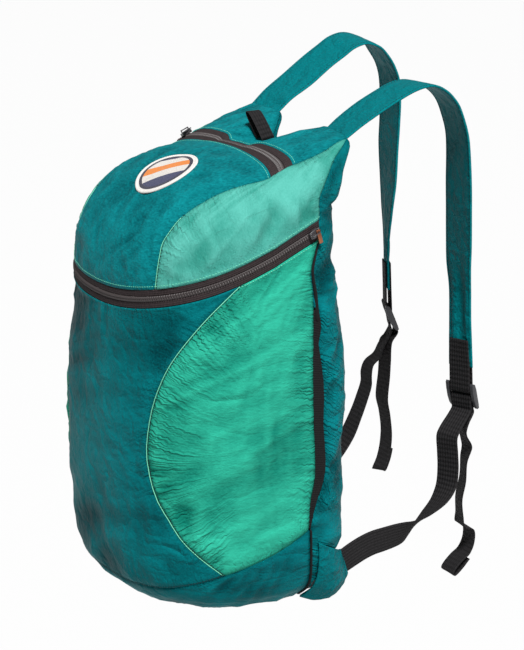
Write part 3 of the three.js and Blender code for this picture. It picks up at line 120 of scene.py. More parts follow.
# turn away from the front, squareness of the shoulder above the zip
SHOULDERS = np.array([[0, 2.7], [35, 3.0], [60, 3.6], [100, 4.2], [140, 5.5], [180, 6.5]], float)
print("sections:", len(SECTIONS), "shoulder rows:", len(SHOULDERS))

# %% Tables of seams
# turn, level
LEAF_FRONT = np.array([
    [65.5, 0.140], [56.5, 0.200], [48.0, 0.267], [42.5, 0.333], [37.5, 0.400], [34.5, 0.477],
    [33.5, 0.547], [34.5, 0.617], [36.5, 0.687], [40.0, 0.760], [44.5, 0.820], [51.5, 0.880],
    [60.0, 0.930], [72.0, 0.974],
])
LEAF_REAR = np.array([
    [111.5, 0.2335], [111.5, 0.310], [113.5, 0.360], [114.0, 0.417], [113.0, 0.530],
    [113.0, 0.670], [113.5, 0.733], [114.0, 0.840], [113.2, 0.883], [113.5, 0.907], [119.0, 0.963],
])
BOTTOM_SEAM = np.array([
    [0, 0.060], [16.5, 0.066], [36.5, 0.083], [46.5, 0.100], [56.5, 0.120], [65.5, 0.140],
    [75.0, 0.157], [85.0, 0.173], [97.5, 0.197], [112.0, 0.2335],
])
RISER = np.array([
    [118.5, 0.000], [116.0, 0.060], [114.0, 0.120], [112.8, 0.180], [112.0, 0.2335],
])
LID_FRONT_SEAM = np.array([
    [36.0, 1.083], [36.5, 1.160], [37.0, 1.240], [37.5, 1.317], [39.5, 1.367], [42.5, 1.420],
    [46.5, 1.463], [52.0, 1.497], [59.5, 1.530], [70.5, 1.550], [84.0, 1.558],
])
LID_REAR_SEAM = np.array([
    [119.5, 1.027], [120.0, 1.117], [120.0, 1.270], [122.5, 1.410], [125.5, 1.470],
])
# level, share of the seam tape's full width
SEAM_TAPE = np.array([
    [0.2335, 0.10], [0.260, 0.25], [0.313, 0.62], [0.363, 1.00], [0.520, 0.98], [0.593, 1.10],
    [0.667, 0.88], [0.720, 0.55], [0.763, 0.75], [0.830, 0.32], [0.870, 0.10],
])
LEAF_TOP_TURN, ZIP_END_TURN, LID_SEAM_TURN = 72.0, 119.2, 36.0
BACK_EDGE, ROOT_BOW = 1.5, 0.034
print("points on the leaf:", len(LEAF_FRONT), "in front,", len(LEAF_REAR), "behind")

# %% Tables of broad folds and strap roots
# broad dents and bulges: turn, level, half length, half width (mm), slant (degrees), depth (share)
FOLDS = np.array([
    [150, 0.93, 70, 40, 70, -0.040], [-150, 0.93, 70, 40, -70, -0.034],
    [133, 1.20, 26, 18, 80, 0.020], [148, 1.27, 32, 28, 85, -0.070],
    [-148, 1.27, 32, 28, -85, -0.060], [138, 0.62, 90, 22, 80, 0.012],
    [-138, 0.66, 90, 22, -80, 0.012], [180, 0.55, 110, 60, 0, 0.020],
    [180, 1.15, 90, 30, 5, -0.024], [8, 0.62, 60, 26, 20, 0.008],
    [-30, 0.30, 70, 22, 40, -0.010], [22, 0.84, 60, 16, -35, -0.008],
    [76, 0.50, 60, 34, 15, 0.010], [-76, 0.50, 60, 34, -15, 0.010],
    [90, 1.30, 46, 16, 50, -0.012], [-90, 1.30, 46, 16, -50, -0.012],
])
# strap roots: side, inner corner (back, up), outer corner (back, up), inward fade, lock's tilt
ROOTS = {
    "right": dict(side=1, inner=(0.984, 1.0386), outer=(0.889, 1.0318), inward=1.42, tilt=11),
    "left": dict(side=-1, inner=(1.005, 1.0450), outer=(0.994, 1.0493), inward=2.0, tilt=17),
}
# how far a root's pull reaches (mm), how fast it fades, and how much faster it fades downwards
PULL_RADIUS, PULL_POWER, PULL_DOWN = 66.0, 1.15, 2.8
print("broad folds:", len(FOLDS))


# %% Smooth curves through a table
def through(table, where):
    """A cubic between each two rows whose slope at a row is that of its two neighbours.

    The first column says where a row is, and the value returned holds the other columns."""
    table = np.asarray(table, float)
    at, values = table[:, 0], table[:, 1:]
    last = len(at) - 1
    before = np.maximum(np.arange(last + 1) - 1, 0)
    after = np.minimum(np.arange(last + 1) + 1, last)
    slope = (values[after] - values[before]) / (at[after] - at[before])[:, None]
    where = np.asarray(where, float)
    i = np.clip(np.searchsorted(at, where) - 1, 0, last - 1)
    span = (at[i + 1] - at[i])[..., None]
    u = np.clip((where - at[i])[..., None] / span, 0, 1)
    return ((2 * u**3 - 3 * u**2 + 1) * values[i] + (u**3 - 2 * u**2 + u) * slope[i] * span
            + (3 * u**2 - 2 * u**3) * values[i + 1] + (u**3 - u**2) * slope[i + 1] * span)


def run_of(points, scale=1.0):
    """Length along a line of points from its first one."""
    steps = np.linalg.norm(np.diff(np.asarray(points, float), axis=0) * scale, axis=1)
    return np.concatenate([[0.0], np.cumsum(np.maximum(steps, 1e-6))])


def resample(points, steps, scale):
    """The smooth curve through seam points, at even shares of its length."""
    run = run_of(points, scale)
    table = np.column_stack([run / run[-1], points])
    return through(table, np.linspace(0, 1, steps + 1))


print("half width share in the middle of the wall:", round(float(through(SECTIONS, 0.5)[0]), 3))


# %% The plain sack
def square_point(angle, power):
    """The point of a rounded square at an angle: (cos, sin) over the power mean of their sizes."""
    c, s = np.cos(angle), np.sin(angle)
    n = (np.abs(c)**power + np.abs(s)**power)**(1 / power)
    return c / n, s / n


def turn_off(turn):
    """How far a turn is from the middle of the front, 0 to 180."""
    return np.abs(np.mod(turn + 540, 360) - 180)


def ring(turn, level):
    """The sack's outline: half the width and depth at that level times the rounded square."""
    half, front, back, front_square, back_square = np.moveaxis(through(SECTIONS, level), -1, 0)
    ahead = turn_off(turn) <= 90
    power = np.where(ahead, front_square, back_square)
    c, s = square_point(np.radians(turn), power)
    return SACK_WIDTH / 2 * half * s, -SACK_DEPTH * np.where(ahead, front, back) * c


def plain_sack(turn, level):
    """Foot, wall and lid: the wall climbs towards the back with the zip line, and the lid closes
    along a quarter of a rounded square from the zip line to the crown."""
    turn, level = np.broadcast_arrays(np.asarray(turn, float), np.asarray(level, float))
    low, lid = level < 0, level > 1
    share = np.where(low, 1 + level, 1.0)
    wall = np.clip(level, 0, 1)
    x, y = ring(turn, wall)
    facing = (1 + np.cos(np.radians(turn))) / 2
    z = (FOOT_DEPTH * share**3 + wall * WALL_HEIGHT + ZIP_RISE * (1 - facing) * wall**1.5
         + FRONT_LIFT * facing * np.maximum(0, 1 - 3 * wall)**2 * share**2)
    power = through(SHOULDERS, turn_off(turn))[..., 0]
    run, rise = square_point((np.clip(level, 1, 2) - 1) * np.pi / 2, power)
    px = np.where(lid, run * x, x * share)
    py = np.where(lid, CROWN_BACK + run * (y - CROWN_BACK), y * share)
    ahead = np.maximum(0, (CROWN_BACK - py) / (SACK_DEPTH / 2))
    behind = np.maximum(0, (py - CROWN_BACK) / (SACK_DEPTH / 4))
    top = (CROWN_HEIGHT - SIDE_FALL * (px / (0.37 * SACK_WIDTH))**2
           - FRONT_FALL * ahead**2 - BACK_FALL * behind**2)
    return np.stack([px, py, np.where(lid, z + rise * (top - z), z)], -1)


print("crown:", plain_sack(0, 2).round(1))

# %% [markdown]
# ## Where the straps pull
# The straps carry the whole pack by two corners of the yoke, so the cloth there is drawn up into
# peaks. A lattice or a brush could lift it. Here each corner is moved to its known place, and the
# move fades away round it, so the seams and every piece sewn to them follow.


# %% Corners of the yoke
def bisect(test, low, high, steps=44):
    """The place between low and high where a rising test turns false."""
    low, high = np.asarray(low, float), np.asarray(high, float)
    for _ in range(steps):
        middle = (low + high) / 2
        under = test(middle)
        low, high = np.where(under, middle, low), np.where(under, high, middle)
    return (low + high) / 2


def turn_at_side(x):
    """Turn at which the back edge reaches a distance x from the middle plane."""
    return float(bisect(lambda t: plain_sack(t, BACK_EDGE)[..., 0] > x, 100.0, 180.0))


INNER_TURN = turn_at_side((STRAP_SPREAD - STRAP_WIDTH) / 2)
OUTER_TURN = turn_at_side((STRAP_SPREAD + STRAP_WIDTH) / 2)
pulls = []
for root in ROOTS.values():
    held = plain_sack(root["side"] * np.array([INNER_TURN, OUTER_TURN]), BACK_EDGE)
    goal = held.copy()
    goal[:, 1] = np.array([root["inner"][0], root["outer"][0]]) * SACK_DEPTH / 2
    goal[:, 2] = np.array([root["inner"][1], root["outer"][1]]) * CROWN_HEIGHT
    pulls.append((held, goal - held, root["inward"]))
print("root turns:", round(INNER_TURN, 1), round(OUTER_TURN, 1))
print("corners move by (mm):", [shift.round(1).tolist() for _, shift, _ in pulls])


def pull_up(points):
    """The yoke's corners drawn up to the straps: a shift that fades with the distance from the
    line between the two corners, as a tent does from its pole."""
    out = points.copy()
    for held, shift, inward in pulls:
        axis = held[1] - held[0]
        share = (points - held[0]) @ axis / (axis @ axis)
        near = np.clip(share, 0, 1)[..., None]
        gap = points - (held[0] + axis * near)
        gap[..., 0] *= 1 + (inward - 1) * np.clip(-2.5 * share, 0, 1)
        gap[..., 2] *= np.where(gap[..., 2] < 0, PULL_DOWN, 1.0)
        left_over = np.maximum(0, 1 - np.linalg.norm(gap, axis=-1) / PULL_RADIUS)
        fade = left_over**PULL_POWER * 1.06 * left_over / (left_over + 0.06)
        out += (shift[0] * (1 - near) + shift[1] * near) * fade[..., None]
    return out


# %% Flat maps of the foot and the lid
def foot_disc(seam):
    """Seam point to a point of a disc round the middle of the underside."""
    turn, level = seam[..., 0], seam[..., 1]
    r = np.where(level < 0, 1 + level, 1 + level * WALL_HEIGHT / (0.45 * SACK_WIDTH))
    return np.stack([r * np.sin(np.radians(turn)), -r * np.cos(np.radians(turn))], -1)


def foot_seam(disc):
    """The way back from that disc."""
    r = np.hypot(disc[..., 0], disc[..., 1])
    level = np.where(r < 1, r - 1, (r - 1) * 0.45 * SACK_WIDTH / WALL_HEIGHT)
    return np.stack([np.degrees(np.arctan2(disc[..., 0], -disc[..., 1])), level], -1)


def lid_disc(seam):
    """Seam point to a point of a disc round the crown."""
    r, turn = 2 - seam[..., 1], np.radians(seam[..., 0])
    return np.stack([r * np.sin(turn), -r * np.cos(turn)], -1)


def lid_seam(disc):
    """The way back from that disc."""
    turn = np.degrees(np.arctan2(disc[..., 0], -disc[..., 1]))
    return np.stack([turn, 2 - np.hypot(disc[..., 0], disc[..., 1])], -1)


there_and_back = lid_seam(lid_disc(np.array([60.0, 1.4])))
print("a seam point and back:", there_and_back.round(3))


# %% Broad folds and the worn sack
def fold_height(turn, level):
    """The sum of the broad folds: each a smooth bump, (1 - a^2 - b^2)^2 in its own slanted axes."""
    over = np.where(level > 1, 1 + (level - 1) * 0.5, level)
    total = np.zeros(np.broadcast(turn, level).shape)
    for at_turn, at_level, half, wide, slant, deep in FOLDS:
        fold_over = 1 + (at_level - 1) * 0.5 if at_level > 1 else at_level
        du = np.radians(np.mod(turn - at_turn + 540, 360) - 180) * 0.46 * SACK_WIDTH
        dv = (over - fold_over) * WALL_HEIGHT
        c, s = math.cos(math.radians(slant)), math.sin(math.radians(slant))
        near = np.maximum(0, 1 - ((du * c + dv * s) / half)**2 - ((dv * c - du * s) / wide)**2)
        total += deep * SACK_DEPTH * near * near
    return total


DISC_STEP = 0.004                # a short step over a disc, about half a millimetre


def facing_out(seam, surface):
    """Outward unit normal: the cross product of the surface's two slopes over a disc."""
    low = seam[..., 1] < 0.02
    total = np.zeros(seam.shape[:-1] + (3,))
    for mask, disc, back, sign in ((low, foot_disc, foot_seam, -1), (~low, lid_disc, lid_seam, 1)):
        if not mask.any():
            continue
        at = disc(seam[mask])
        ways = [surface(back(at + d)) - surface(back(at - d))
                for d in (np.array([DISC_STEP, 0]), np.array([0, DISC_STEP]))]
        total[mask] = sign * np.cross(ways[0], ways[1])
    return total / np.maximum(np.linalg.norm(total, axis=-1, keepdims=True), 1e-12)


def smooth_sack(seam):
    """The plain sack drawn up to the straps, before its folds."""
    return pull_up(plain_sack(seam[..., 0], seam[..., 1]))


def sack(seam):
    """The worn sack: the plain sack, drawn up to the straps, with its broad folds."""
    seam = np.asarray(seam, float)
    height = fold_height(seam[..., 0], seam[..., 1])
    return smooth_sack(seam) + facing_out(seam, smooth_sack) * height[..., None]


print("middle of the front (mm):", sack([0.0, 0.5]).round(1))

# %% Finding a place on the sack
ZIP_LEVEL, ZIP_SAG = 0.983, 0.020      # the band's lower edge in front, its sag at its ends
ZIP_END_SHARE = 1.49                   # 1 - cos of its last turn


def zip_level(turn, height):
    """Level of the point a given height up the wall from the zip band's lower edge."""
    turn = np.asarray(turn, float)
    low = ZIP_LEVEL - ZIP_SAG * (1 - np.cos(np.radians(turn))) / ZIP_END_SHARE
    goal = plain_sack(turn, low)[..., 2] + height
    return bisect(lambda level: plain_sack(turn, level)[..., 2] < goal, low - 0.1, low * 0 + 1.4)


def seam_under(x, y):
    """The seam point of the plain lid at a plan position: its turn from the direction off the
    crown, and its level by undoing the quarter of the rounded square."""
    x, y = np.broadcast_arrays(np.asarray(x, float), np.asarray(y, float))
    goal = np.arctan2(np.abs(x), CROWN_BACK - y)

    def short_of(turn):
        edge = ring(turn, 1.0)
        return np.arctan2(edge[0], CROWN_BACK - edge[1]) < goal

    turn = bisect(short_of, goal * 0, goal * 0 + 180)
    edge = ring(turn, 1.0)
    run = np.hypot(x, y - CROWN_BACK) / np.hypot(edge[0], edge[1] - CROWN_BACK)
    power = through(SHOULDERS, turn)[..., 0]
    rise = np.arctan(np.maximum(np.maximum(run, 1e-6)**-power - 1, 0)**(1 / power))
    return np.stack([np.where(x < 0, -turn, turn), 1 + rise / (np.pi / 2)], -1)


print("zip band on the side, in levels:", zip_level([90, 90], [0, ZIP_BAND]).round(3))

# %% [markdown]
# ## Patterns of numbers
# Cloth this thin is never smooth: it keeps sharp little creases from being packed in its own
# pocket, and it puckers along every seam, where the thread draws it together. Both are made from
# seeded noise, so that they come out the same each time. A cloth simulation would give them too,
# but it can't be told where a crease should lie.

# %% Noise along a line and in space
def wave(x, seed):
    """Smooth random wave from -1 to 1 with a new value at every whole number."""
    values = np.random.default_rng(seed).uniform(-1, 1, 4096)
    i = np.floor(x).astype(int)
    u = x - i
    u = u * u * (3 - 2 * u)
    return values[i % 4096] * (1 - u) + values[(i + 1) % 4096] * u


def corner_value(i, j, k, seed):
    """A repeatable random number from -1 to 1 for each corner of a cubic lattice."""
    n = (i * 73856093) ^ (j * 19349663) ^ (k * 83492791) ^ (seed * 49979687)
    n = (n ^ (n >> 13)) * 60493
    n = (n ^ (n >> 11)) & 0xFFFF
    return n / 32767.5 - 1


def noise(points, size, seed):
    """Smooth random field in space with lumps about one size across."""
    p = points / size
    base = np.floor(p).astype(np.int64)
    u = p - base
    u = u * u * (3 - 2 * u)
    total = 0
    for dx in (0, 1):
        for dy in (0, 1):
            for dz in (0, 1):
                share = (np.abs(1 - dx - u[..., 0]) * np.abs(1 - dy - u[..., 1])
                         * np.abs(1 - dz - u[..., 2]))
                total = total + share * corner_value(
                    base[..., 0] + dx, base[..., 1] + dy, base[..., 2] + dz, seed)
    return total


def creases(points, size, seed):
    """Sharp creases between flat facets: minus the size of a noise, which is pointed where the
    noise is zero, from two sizes together."""
    big = np.abs(noise(points, size, seed))
    small = np.abs(noise(points + 31.7, size * 0.47, seed + 1))
    return 0.34 - big - 0.45 * small + 0.12


sample = np.random.default_rng(1).uniform(0, 200, (2000, 3))
print("creases run from", round(float(creases(sample, 30, 1).min()), 2),
      "to", round(float(creases(sample, 30, 1).max()), 2))


# %% Distance from a line
def near_line(points, line):
    """Distance from every point to a line read every 3 mm, and how far along the line its nearest
    point is."""
    flat = points.reshape(-1, 3)
    run = run_of(line)
    count = int(run[-1] / 3) + 2
    at = np.linspace(0, run[-1], count)
    dense = np.stack([np.interp(at, run, line[:, c]) for c in range(3)], -1)
    away, where = [], []
    for part in np.array_split(flat, max(1, len(flat) * count // 4000000 + 1)):
        gap = np.linalg.norm(part[:, None, :] - dense[None], axis=-1)
        best = gap.argmin(axis=1)
        away.append(gap[np.arange(len(part)), best])
        where.append(at[best])
    shape = points.shape[:-1]
    return np.concatenate(away).reshape(shape), np.concatenate(where).reshape(shape)


straight = np.array([[0.0, 0, 0], [0, 0, 60]])
away, along = near_line(np.array([[5.0, 0, 30]]), straight)
print("a point 5 mm off a line reads", away.round(1), "at", along.round(1))


# %% Making meshes
def to_mesh(name, points, faces, uv=None, marks=None):
    """A mesh object from arrays: points in millimetres, faces of four, and for every point its
    place on the map and any named marks, one number or three."""
    mesh = bpy.data.meshes.new(name)
    points = metres(points.reshape(-1, 3))
    faces = np.asarray(faces, np.int32).reshape(-1, 4)
    mesh.vertices.add(len(points))
    mesh.vertices.foreach_set("co", points.astype(np.float32).ravel())
    mesh.loops.add(faces.size)
    mesh.loops.foreach_set("vertex_index", faces.ravel())
    mesh.polygons.add(len(faces))
    mesh.polygons.foreach_set("loop_start", np.arange(0, faces.size, 4, dtype=np.int32))
    mesh.polygons.foreach_set("use_smooth", np.ones(len(faces), bool))
    mesh.update(calc_edges=True)
    if uv is not None:
        layer = mesh.uv_layers.new(name="UVMap")
        layer.data.foreach_set("uv", uv.reshape(-1, 2)[faces.ravel()].astype(np.float32).ravel())
    for mark, values in (marks or {}).items():
        kind, key = (("FLOAT", "value"), ("FLOAT_VECTOR", "vector"))[values.ndim == 2]
        mesh.attributes.new(mark, kind, "POINT").data.foreach_set(
            key, values.ravel().astype(np.float32))
    mesh.validate()
    obj = bpy.data.objects.new(name, mesh)
    bpy.context.scene.collection.objects.link(obj)
    return obj


def grid_faces(rows, cols, first=0, turned=False):
    """Faces of a grid of points, row after row, seen from the side where columns run right."""
    j, i = np.meshgrid(np.arange(rows - 1), np.arange(cols - 1), indexing="ij")
    a = first + j * cols + i
    faces = np.stack([a, a + 1, a + cols + 1, a + cols], -1).reshape(-1, 4)
    return faces[:, ::-1] if turned else faces


def rim_faces(rows, cols, first, second):
    """Faces that join the edges of two like grids, one behind the other."""
    loop = np.concatenate([
        np.arange(cols - 1), np.arange(rows - 1) * cols + cols - 1,
        (rows - 1) * cols + np.arange(cols - 1, 0, -1), np.arange(rows - 1, 0, -1) * cols])
    ahead = np.roll(loop, -1)
    return np.stack([first + loop, second + loop, second + ahead, first + ahead], -1)


def joined_mesh(name, parts):
    """One mesh from several (points, faces) pairs."""
    points, faces, count = [], [], 0
    for p, f in parts:
        points.append(p.reshape(-1, 3))
        faces.append(f + count)
        count += len(points[-1])
    return to_mesh(name, np.concatenate(points), np.concatenate(faces))


# %% Sheets of cloth
def grid_normals(points):
    """Unit normals of a grid of points, from its slopes along rows and columns."""
    n = np.cross(np.gradient(points, axis=1), np.gradient(points, axis=0))
    return n / np.maximum(np.linalg.norm(n, axis=-1, keepdims=True), 1e-9)


def surface_runs(points):
    """Lengths across and up a grid, in millimetres, from its own edges."""
    across = np.linalg.norm(np.diff(points, axis=1), axis=-1)
    up = np.linalg.norm(np.diff(points, axis=0), axis=-1)
    a = np.concatenate([np.zeros((len(points), 1)), np.cumsum(across, axis=1)], axis=1)
    b = np.concatenate([np.zeros((1, points.shape[1])), np.cumsum(up, axis=0)], axis=0)
    return a - a.mean(axis=1, keepdims=True), b


def sheet_of_cloth(name, outer, inner, uv, marks=None):
    """A closed sheet: the outer grid, the inner one facing the other way, and a rim."""
    rows, cols = outer.shape[:2]
    count = rows * cols
    faces = np.concatenate([grid_faces(rows, cols), grid_faces(rows, cols, count, turned=True),
                            rim_faces(rows, cols, 0, count)])
    points = np.concatenate([outer.reshape(-1, 3), inner.reshape(-1, 3)])
    both = {mark: np.concatenate([flat, flat]) for mark, flat in (marks or {}).items()}
    return to_mesh(name, points, faces, np.concatenate([uv.reshape(-1, 2)] * 2), both)


# %% [markdown]
# ## Seams
# Every panel is drawn by its seams. It could be cut out of the whole sack, but two panels that
# are sewn together share one list of seam points here, so they always meet. A panel is the blend
# between its four seams, first on a flat map of the sack and then laid on the sack's surface.

# %% Seam lists
FINE = 6                         # steps of a panel for each one of the coarse model
COLS_FRONT, COLS_LEAF, COLS_BACK = 24 * FINE, 6 * FINE, 12 * FINE
ROWS_WALL, ROWS_LID, LID_BEND = 14 * FINE, 10 * FINE, 5 * FINE
RISER_STEPS = (COLS_FRONT - COLS_BACK) // 2
TAPE_LAST = 11 * FINE
SEAM_SCALE = np.array([2.2, WALL_HEIGHT])


def mirrored(seam):
    """The same seam on the other side of the sack."""
    return seam * np.array([-1.0, 1.0])


def blend(bottom, top, left, right):
    """A grid between four lines: each pair of opposite lines blended, less the corners' share."""
    s = np.linspace(0, 1, len(bottom))[None, :, None]
    t = np.linspace(0, 1, len(left))[:, None, None]
    return ((1 - t) * bottom[None] + t * top[None] + (1 - s) * left[:, None] + s * right[:, None]
            - (1 - s) * (1 - t) * bottom[0] - s * (1 - t) * bottom[-1]
            - (1 - s) * t * top[0] - s * t * top[-1])


def with_level(turns, height):
    """The line along the zip band at one height above its lower edge."""
    return np.column_stack([turns, zip_level(turns, height)])


turns_front = np.linspace(-LEAF_TOP_TURN, LEAF_TOP_TURN, COLS_FRONT + 1)
turns_leaf = np.linspace(LEAF_TOP_TURN, ZIP_END_TURN, COLS_LEAF + 1)
turns_band = np.concatenate([-turns_leaf[:0:-1], turns_front, turns_leaf[1:]])

leaf_front = resample(LEAF_FRONT, ROWS_WALL, SEAM_SCALE)
leaf_front[-1] = [LEAF_TOP_TURN, float(zip_level(LEAF_TOP_TURN, 0))]
rear_levels = np.linspace(LEAF_REAR[0, 1], float(zip_level(ZIP_END_TURN, 0)), ROWS_WALL + 1)
leaf_rear = np.column_stack([
    through(LEAF_REAR[:, ::-1], np.minimum(rear_levels, 0.963))[:, 0], rear_levels])
leaf_rear[-1, 0] = ZIP_END_TURN


def bottom_at(turns):
    """The seam round the foot, read at these turns."""
    return np.column_stack([turns, through(BOTTOM_SEAM, np.abs(turns))[:, 0]])


bottom_front = bottom_at(np.linspace(-leaf_front[0, 0], leaf_front[0, 0], COLS_FRONT + 1))
bottom_leaf = bottom_at(np.linspace(leaf_front[0, 0], leaf_rear[0, 0], COLS_LEAF + 1))
bottom_leaf[-1] = leaf_rear[0]
riser = resample(RISER, RISER_STEPS, SEAM_SCALE)
even = np.linspace(riser[0, 0], 360 - riser[0, 0], 241)
even_run = run_of(plain_sack(even, 0.5))
even_turns = np.interp(np.linspace(0, even_run[-1], COLS_BACK + 1), even_run, even)
foot_back = np.column_stack([even_turns, 0 * even_turns])
tape_edge = leaf_rear[:TAPE_LAST + 1].copy()
tape_edge[:, 0] += np.degrees(SEAM_TAPE_WIDTH * through(
    SEAM_TAPE, np.minimum(tape_edge[:, 1], 0.87))[:, 0] / (0.45 * SACK_WIDTH))
tape_edge[0] = riser[-1]
print("seam points:", len(leaf_front), "along the leaf,", len(foot_back), "along the foot")


# %% Seams of the lid
def pocket_back(x):
    """How far behind the middle the short zip runs at a distance from the middle plane."""
    return POCKET_ZIP_BACK + POCKET_ZIP_BOW * (1 - (x / (0.37 * SACK_WIDTH))**2)


POCKET_END = 0.365 * SACK_WIDTH
COLS_LID = COLS_FRONT // 2


def pocket_line(offset):
    """The line along the short zip, a distance behind its middle."""
    x = np.linspace(-POCKET_END, POCKET_END, COLS_LID + 1)
    return seam_under(x, pocket_back(x) + offset)


half_band = POCKET_ZIP_BAND / 2
pocket_front, pocket_rear = pocket_line(-half_band), pocket_line(half_band)
lid_front_seam = resample(np.vstack([
    [LID_SEAM_TURN, float(zip_level(LID_SEAM_TURN, ZIP_BAND))], LID_FRONT_SEAM[1:-1],
    pocket_front[-1]]), ROWS_LID, SEAM_SCALE)
ACROSS_ZIP = 2 * FINE
pocket_end_line = seam_under(
    np.full(ACROSS_ZIP + 1, POCKET_END),
    pocket_back(POCKET_END) + np.linspace(-half_band, half_band, ACROSS_ZIP + 1))
tip = np.array([OUTER_TURN, BACK_EDGE])
turns_lid_side = turns_band[turns_band >= LID_SEAM_TURN - 1e-6]
yoke_rows = len(turns_lid_side) - 1 - ACROSS_ZIP - (ROWS_LID - LID_BEND)
yoke_side = resample(np.vstack([pocket_rear[-1], [121, 1.537], [129, 1.530], tip]),
                     yoke_rows, np.array([1.6, 140]))
lid_rear = resample(np.vstack([
    [ZIP_END_TURN, float(zip_level(ZIP_END_TURN, ZIP_BAND))], LID_REAR_SEAM[1:], tip]),
    LID_BEND, np.array([2.2, 140]))
quarter = COLS_BACK // 4
root_turns = np.concatenate([
    np.linspace(OUTER_TURN, INNER_TURN, quarter + 1),
    np.linspace(INNER_TURN, 360 - INNER_TURN, COLS_BACK // 2 + 1)[1:],
    np.linspace(360 - INNER_TURN, 360 - OUTER_TURN, quarter + 1)[1:]])


def root_level(turn):
    """The back edge, bowed inward a little under each strap."""
    share = (turn_off(turn) - OUTER_TURN) / (INNER_TURN - OUTER_TURN)
    return BACK_EDGE + ROOT_BOW * 4 * np.maximum(0, share * (1 - share))


back_edge = np.column_stack([root_turns, root_level(root_turns)])
end_turns = np.full(ACROSS_ZIP + 1, ZIP_END_TURN)
zip_end_line = np.column_stack([
    end_turns, zip_level(end_turns, np.linspace(0, ZIP_BAND, ACROSS_ZIP + 1))])
back_side = np.vstack([
    riser, tape_edge[1:], leaf_rear[TAPE_LAST + 1:], zip_end_line[1:], lid_rear[1:]])
rear_ring = np.vstack([riser[::-1], foot_back[1:], (riser * [-1, 1] + [360, 0])[1:]])
under_right = np.vstack([bottom_leaf[:-1], riser[-1]])
lid_side_top = np.vstack([lid_front_seam[LID_BEND:], pocket_end_line[1:], yoke_side[1:]])
print("seam points:", len(back_edge), "along the back edge,", len(lid_side_top), "up the lid")


# %% A grid for every panel
def lid_blend(bottom, top, left, right):
    """A blend made on the flat map of the lid, where its seams meet without a twist."""
    return lid_seam(blend(*(lid_disc(s) for s in (bottom, top, left, right))))


def other_side(grid):
    """A panel's grid for the other side of the sack, its columns still running right."""
    return mirrored(grid)[:, ::-1]


panel_seams = {
    "front_panel": blend(
        bottom_front, with_level(turns_front, 0), mirrored(leaf_front), leaf_front),
    "side_panel_right": blend(bottom_leaf, with_level(turns_leaf, 0), leaf_front, leaf_rear),
    "back_panel": blend(foot_back, back_edge, back_side, back_side * [-1, 1] + [360, 0]),
    "bottom_panel": foot_seam(blend(
        foot_disc(bottom_front), foot_disc(rear_ring[::-1]),
        foot_disc(mirrored(under_right)), foot_disc(under_right)))[:, ::-1],
    "seam_tape_right": blend(
        np.linspace(leaf_rear[0], tape_edge[0], FINE + 1),
        np.linspace(leaf_rear[TAPE_LAST], tape_edge[-1], FINE + 1),
        leaf_rear[:TAPE_LAST + 1], tape_edge),
    "lid_front_panel": lid_blend(
        with_level(turns_front[np.abs(turns_front) <= LID_SEAM_TURN + 1e-6], ZIP_BAND),
        pocket_front, mirrored(lid_front_seam), lid_front_seam),
    "lid_side_right": lid_blend(
        with_level(turns_lid_side, ZIP_BAND), lid_side_top,
        lid_front_seam[:LID_BEND + 1], lid_rear),
    "yoke_panel": lid_blend(pocket_rear, back_edge[::-1], mirrored(yoke_side), yoke_side),
}
for name in ("side_panel", "seam_tape", "lid_side"):
    panel_seams[name + "_left"] = other_side(panel_seams[name + "_right"])
panel_points = {name: sack(grid) for name, grid in panel_seams.items()}
panel_normals = {name: facing_out(grid, sack) for name, grid in panel_seams.items()}
for name, grid in panel_points.items():
    print(name, grid.shape[:2], "faces out:",
          bool((np.sum(grid_normals(grid) * panel_normals[name], -1) > 0).mean() > 0.98))

# %% [markdown]
# ## Panels of thin cloth
# At a plain seam the two cloths turn inward together and leave a valley. Beside a zip the cloth is
# folded back on itself and stitched flat, so its edge stands a little proud of the tape. The
# thread is shorter than the cloth it holds, which leaves puckers square to the seam that die out
# within a few centimetres. A brush could draw all this, but one table says it for every panel
# alike, and creases fill the rest. Each point is also marked with how high it lies in the folds,
# which the cloth's material turns into painted shade, darker in the valleys and lighter on the
# crests, and with its place beside the nearest seam, for the cloth's material to read.

# %% How each panel behaves at its seams
def seam_lines(side):
    """The seams on one side of the sack as lines of points on it."""
    way = np.array([side, 1.0])
    lists = dict(leaf_front=leaf_front, leaf_rear=leaf_rear, foot_leaf=bottom_leaf, riser=riser,
                 tape_edge=tape_edge, lid_front=lid_front_seam, lid_rear=lid_rear,
                 yoke_side=yoke_side, pocket_end=pocket_end_line)
    return {name: sack(line * way) for name, line in lists.items()}


right, left = seam_lines(1), seam_lines(-1)
across_seams = {
    "foot_front": sack(bottom_front), "foot_back": sack(foot_back), "back_edge": sack(back_edge),
    "zip_low": sack(with_level(turns_band, 0)), "zip_high": sack(with_level(turns_band, ZIP_BAND)),
    "pocket_front": sack(pocket_front), "pocket_rear": sack(pocket_rear),
}
print("seams on each side:", len(right), "across:", len(across_seams))

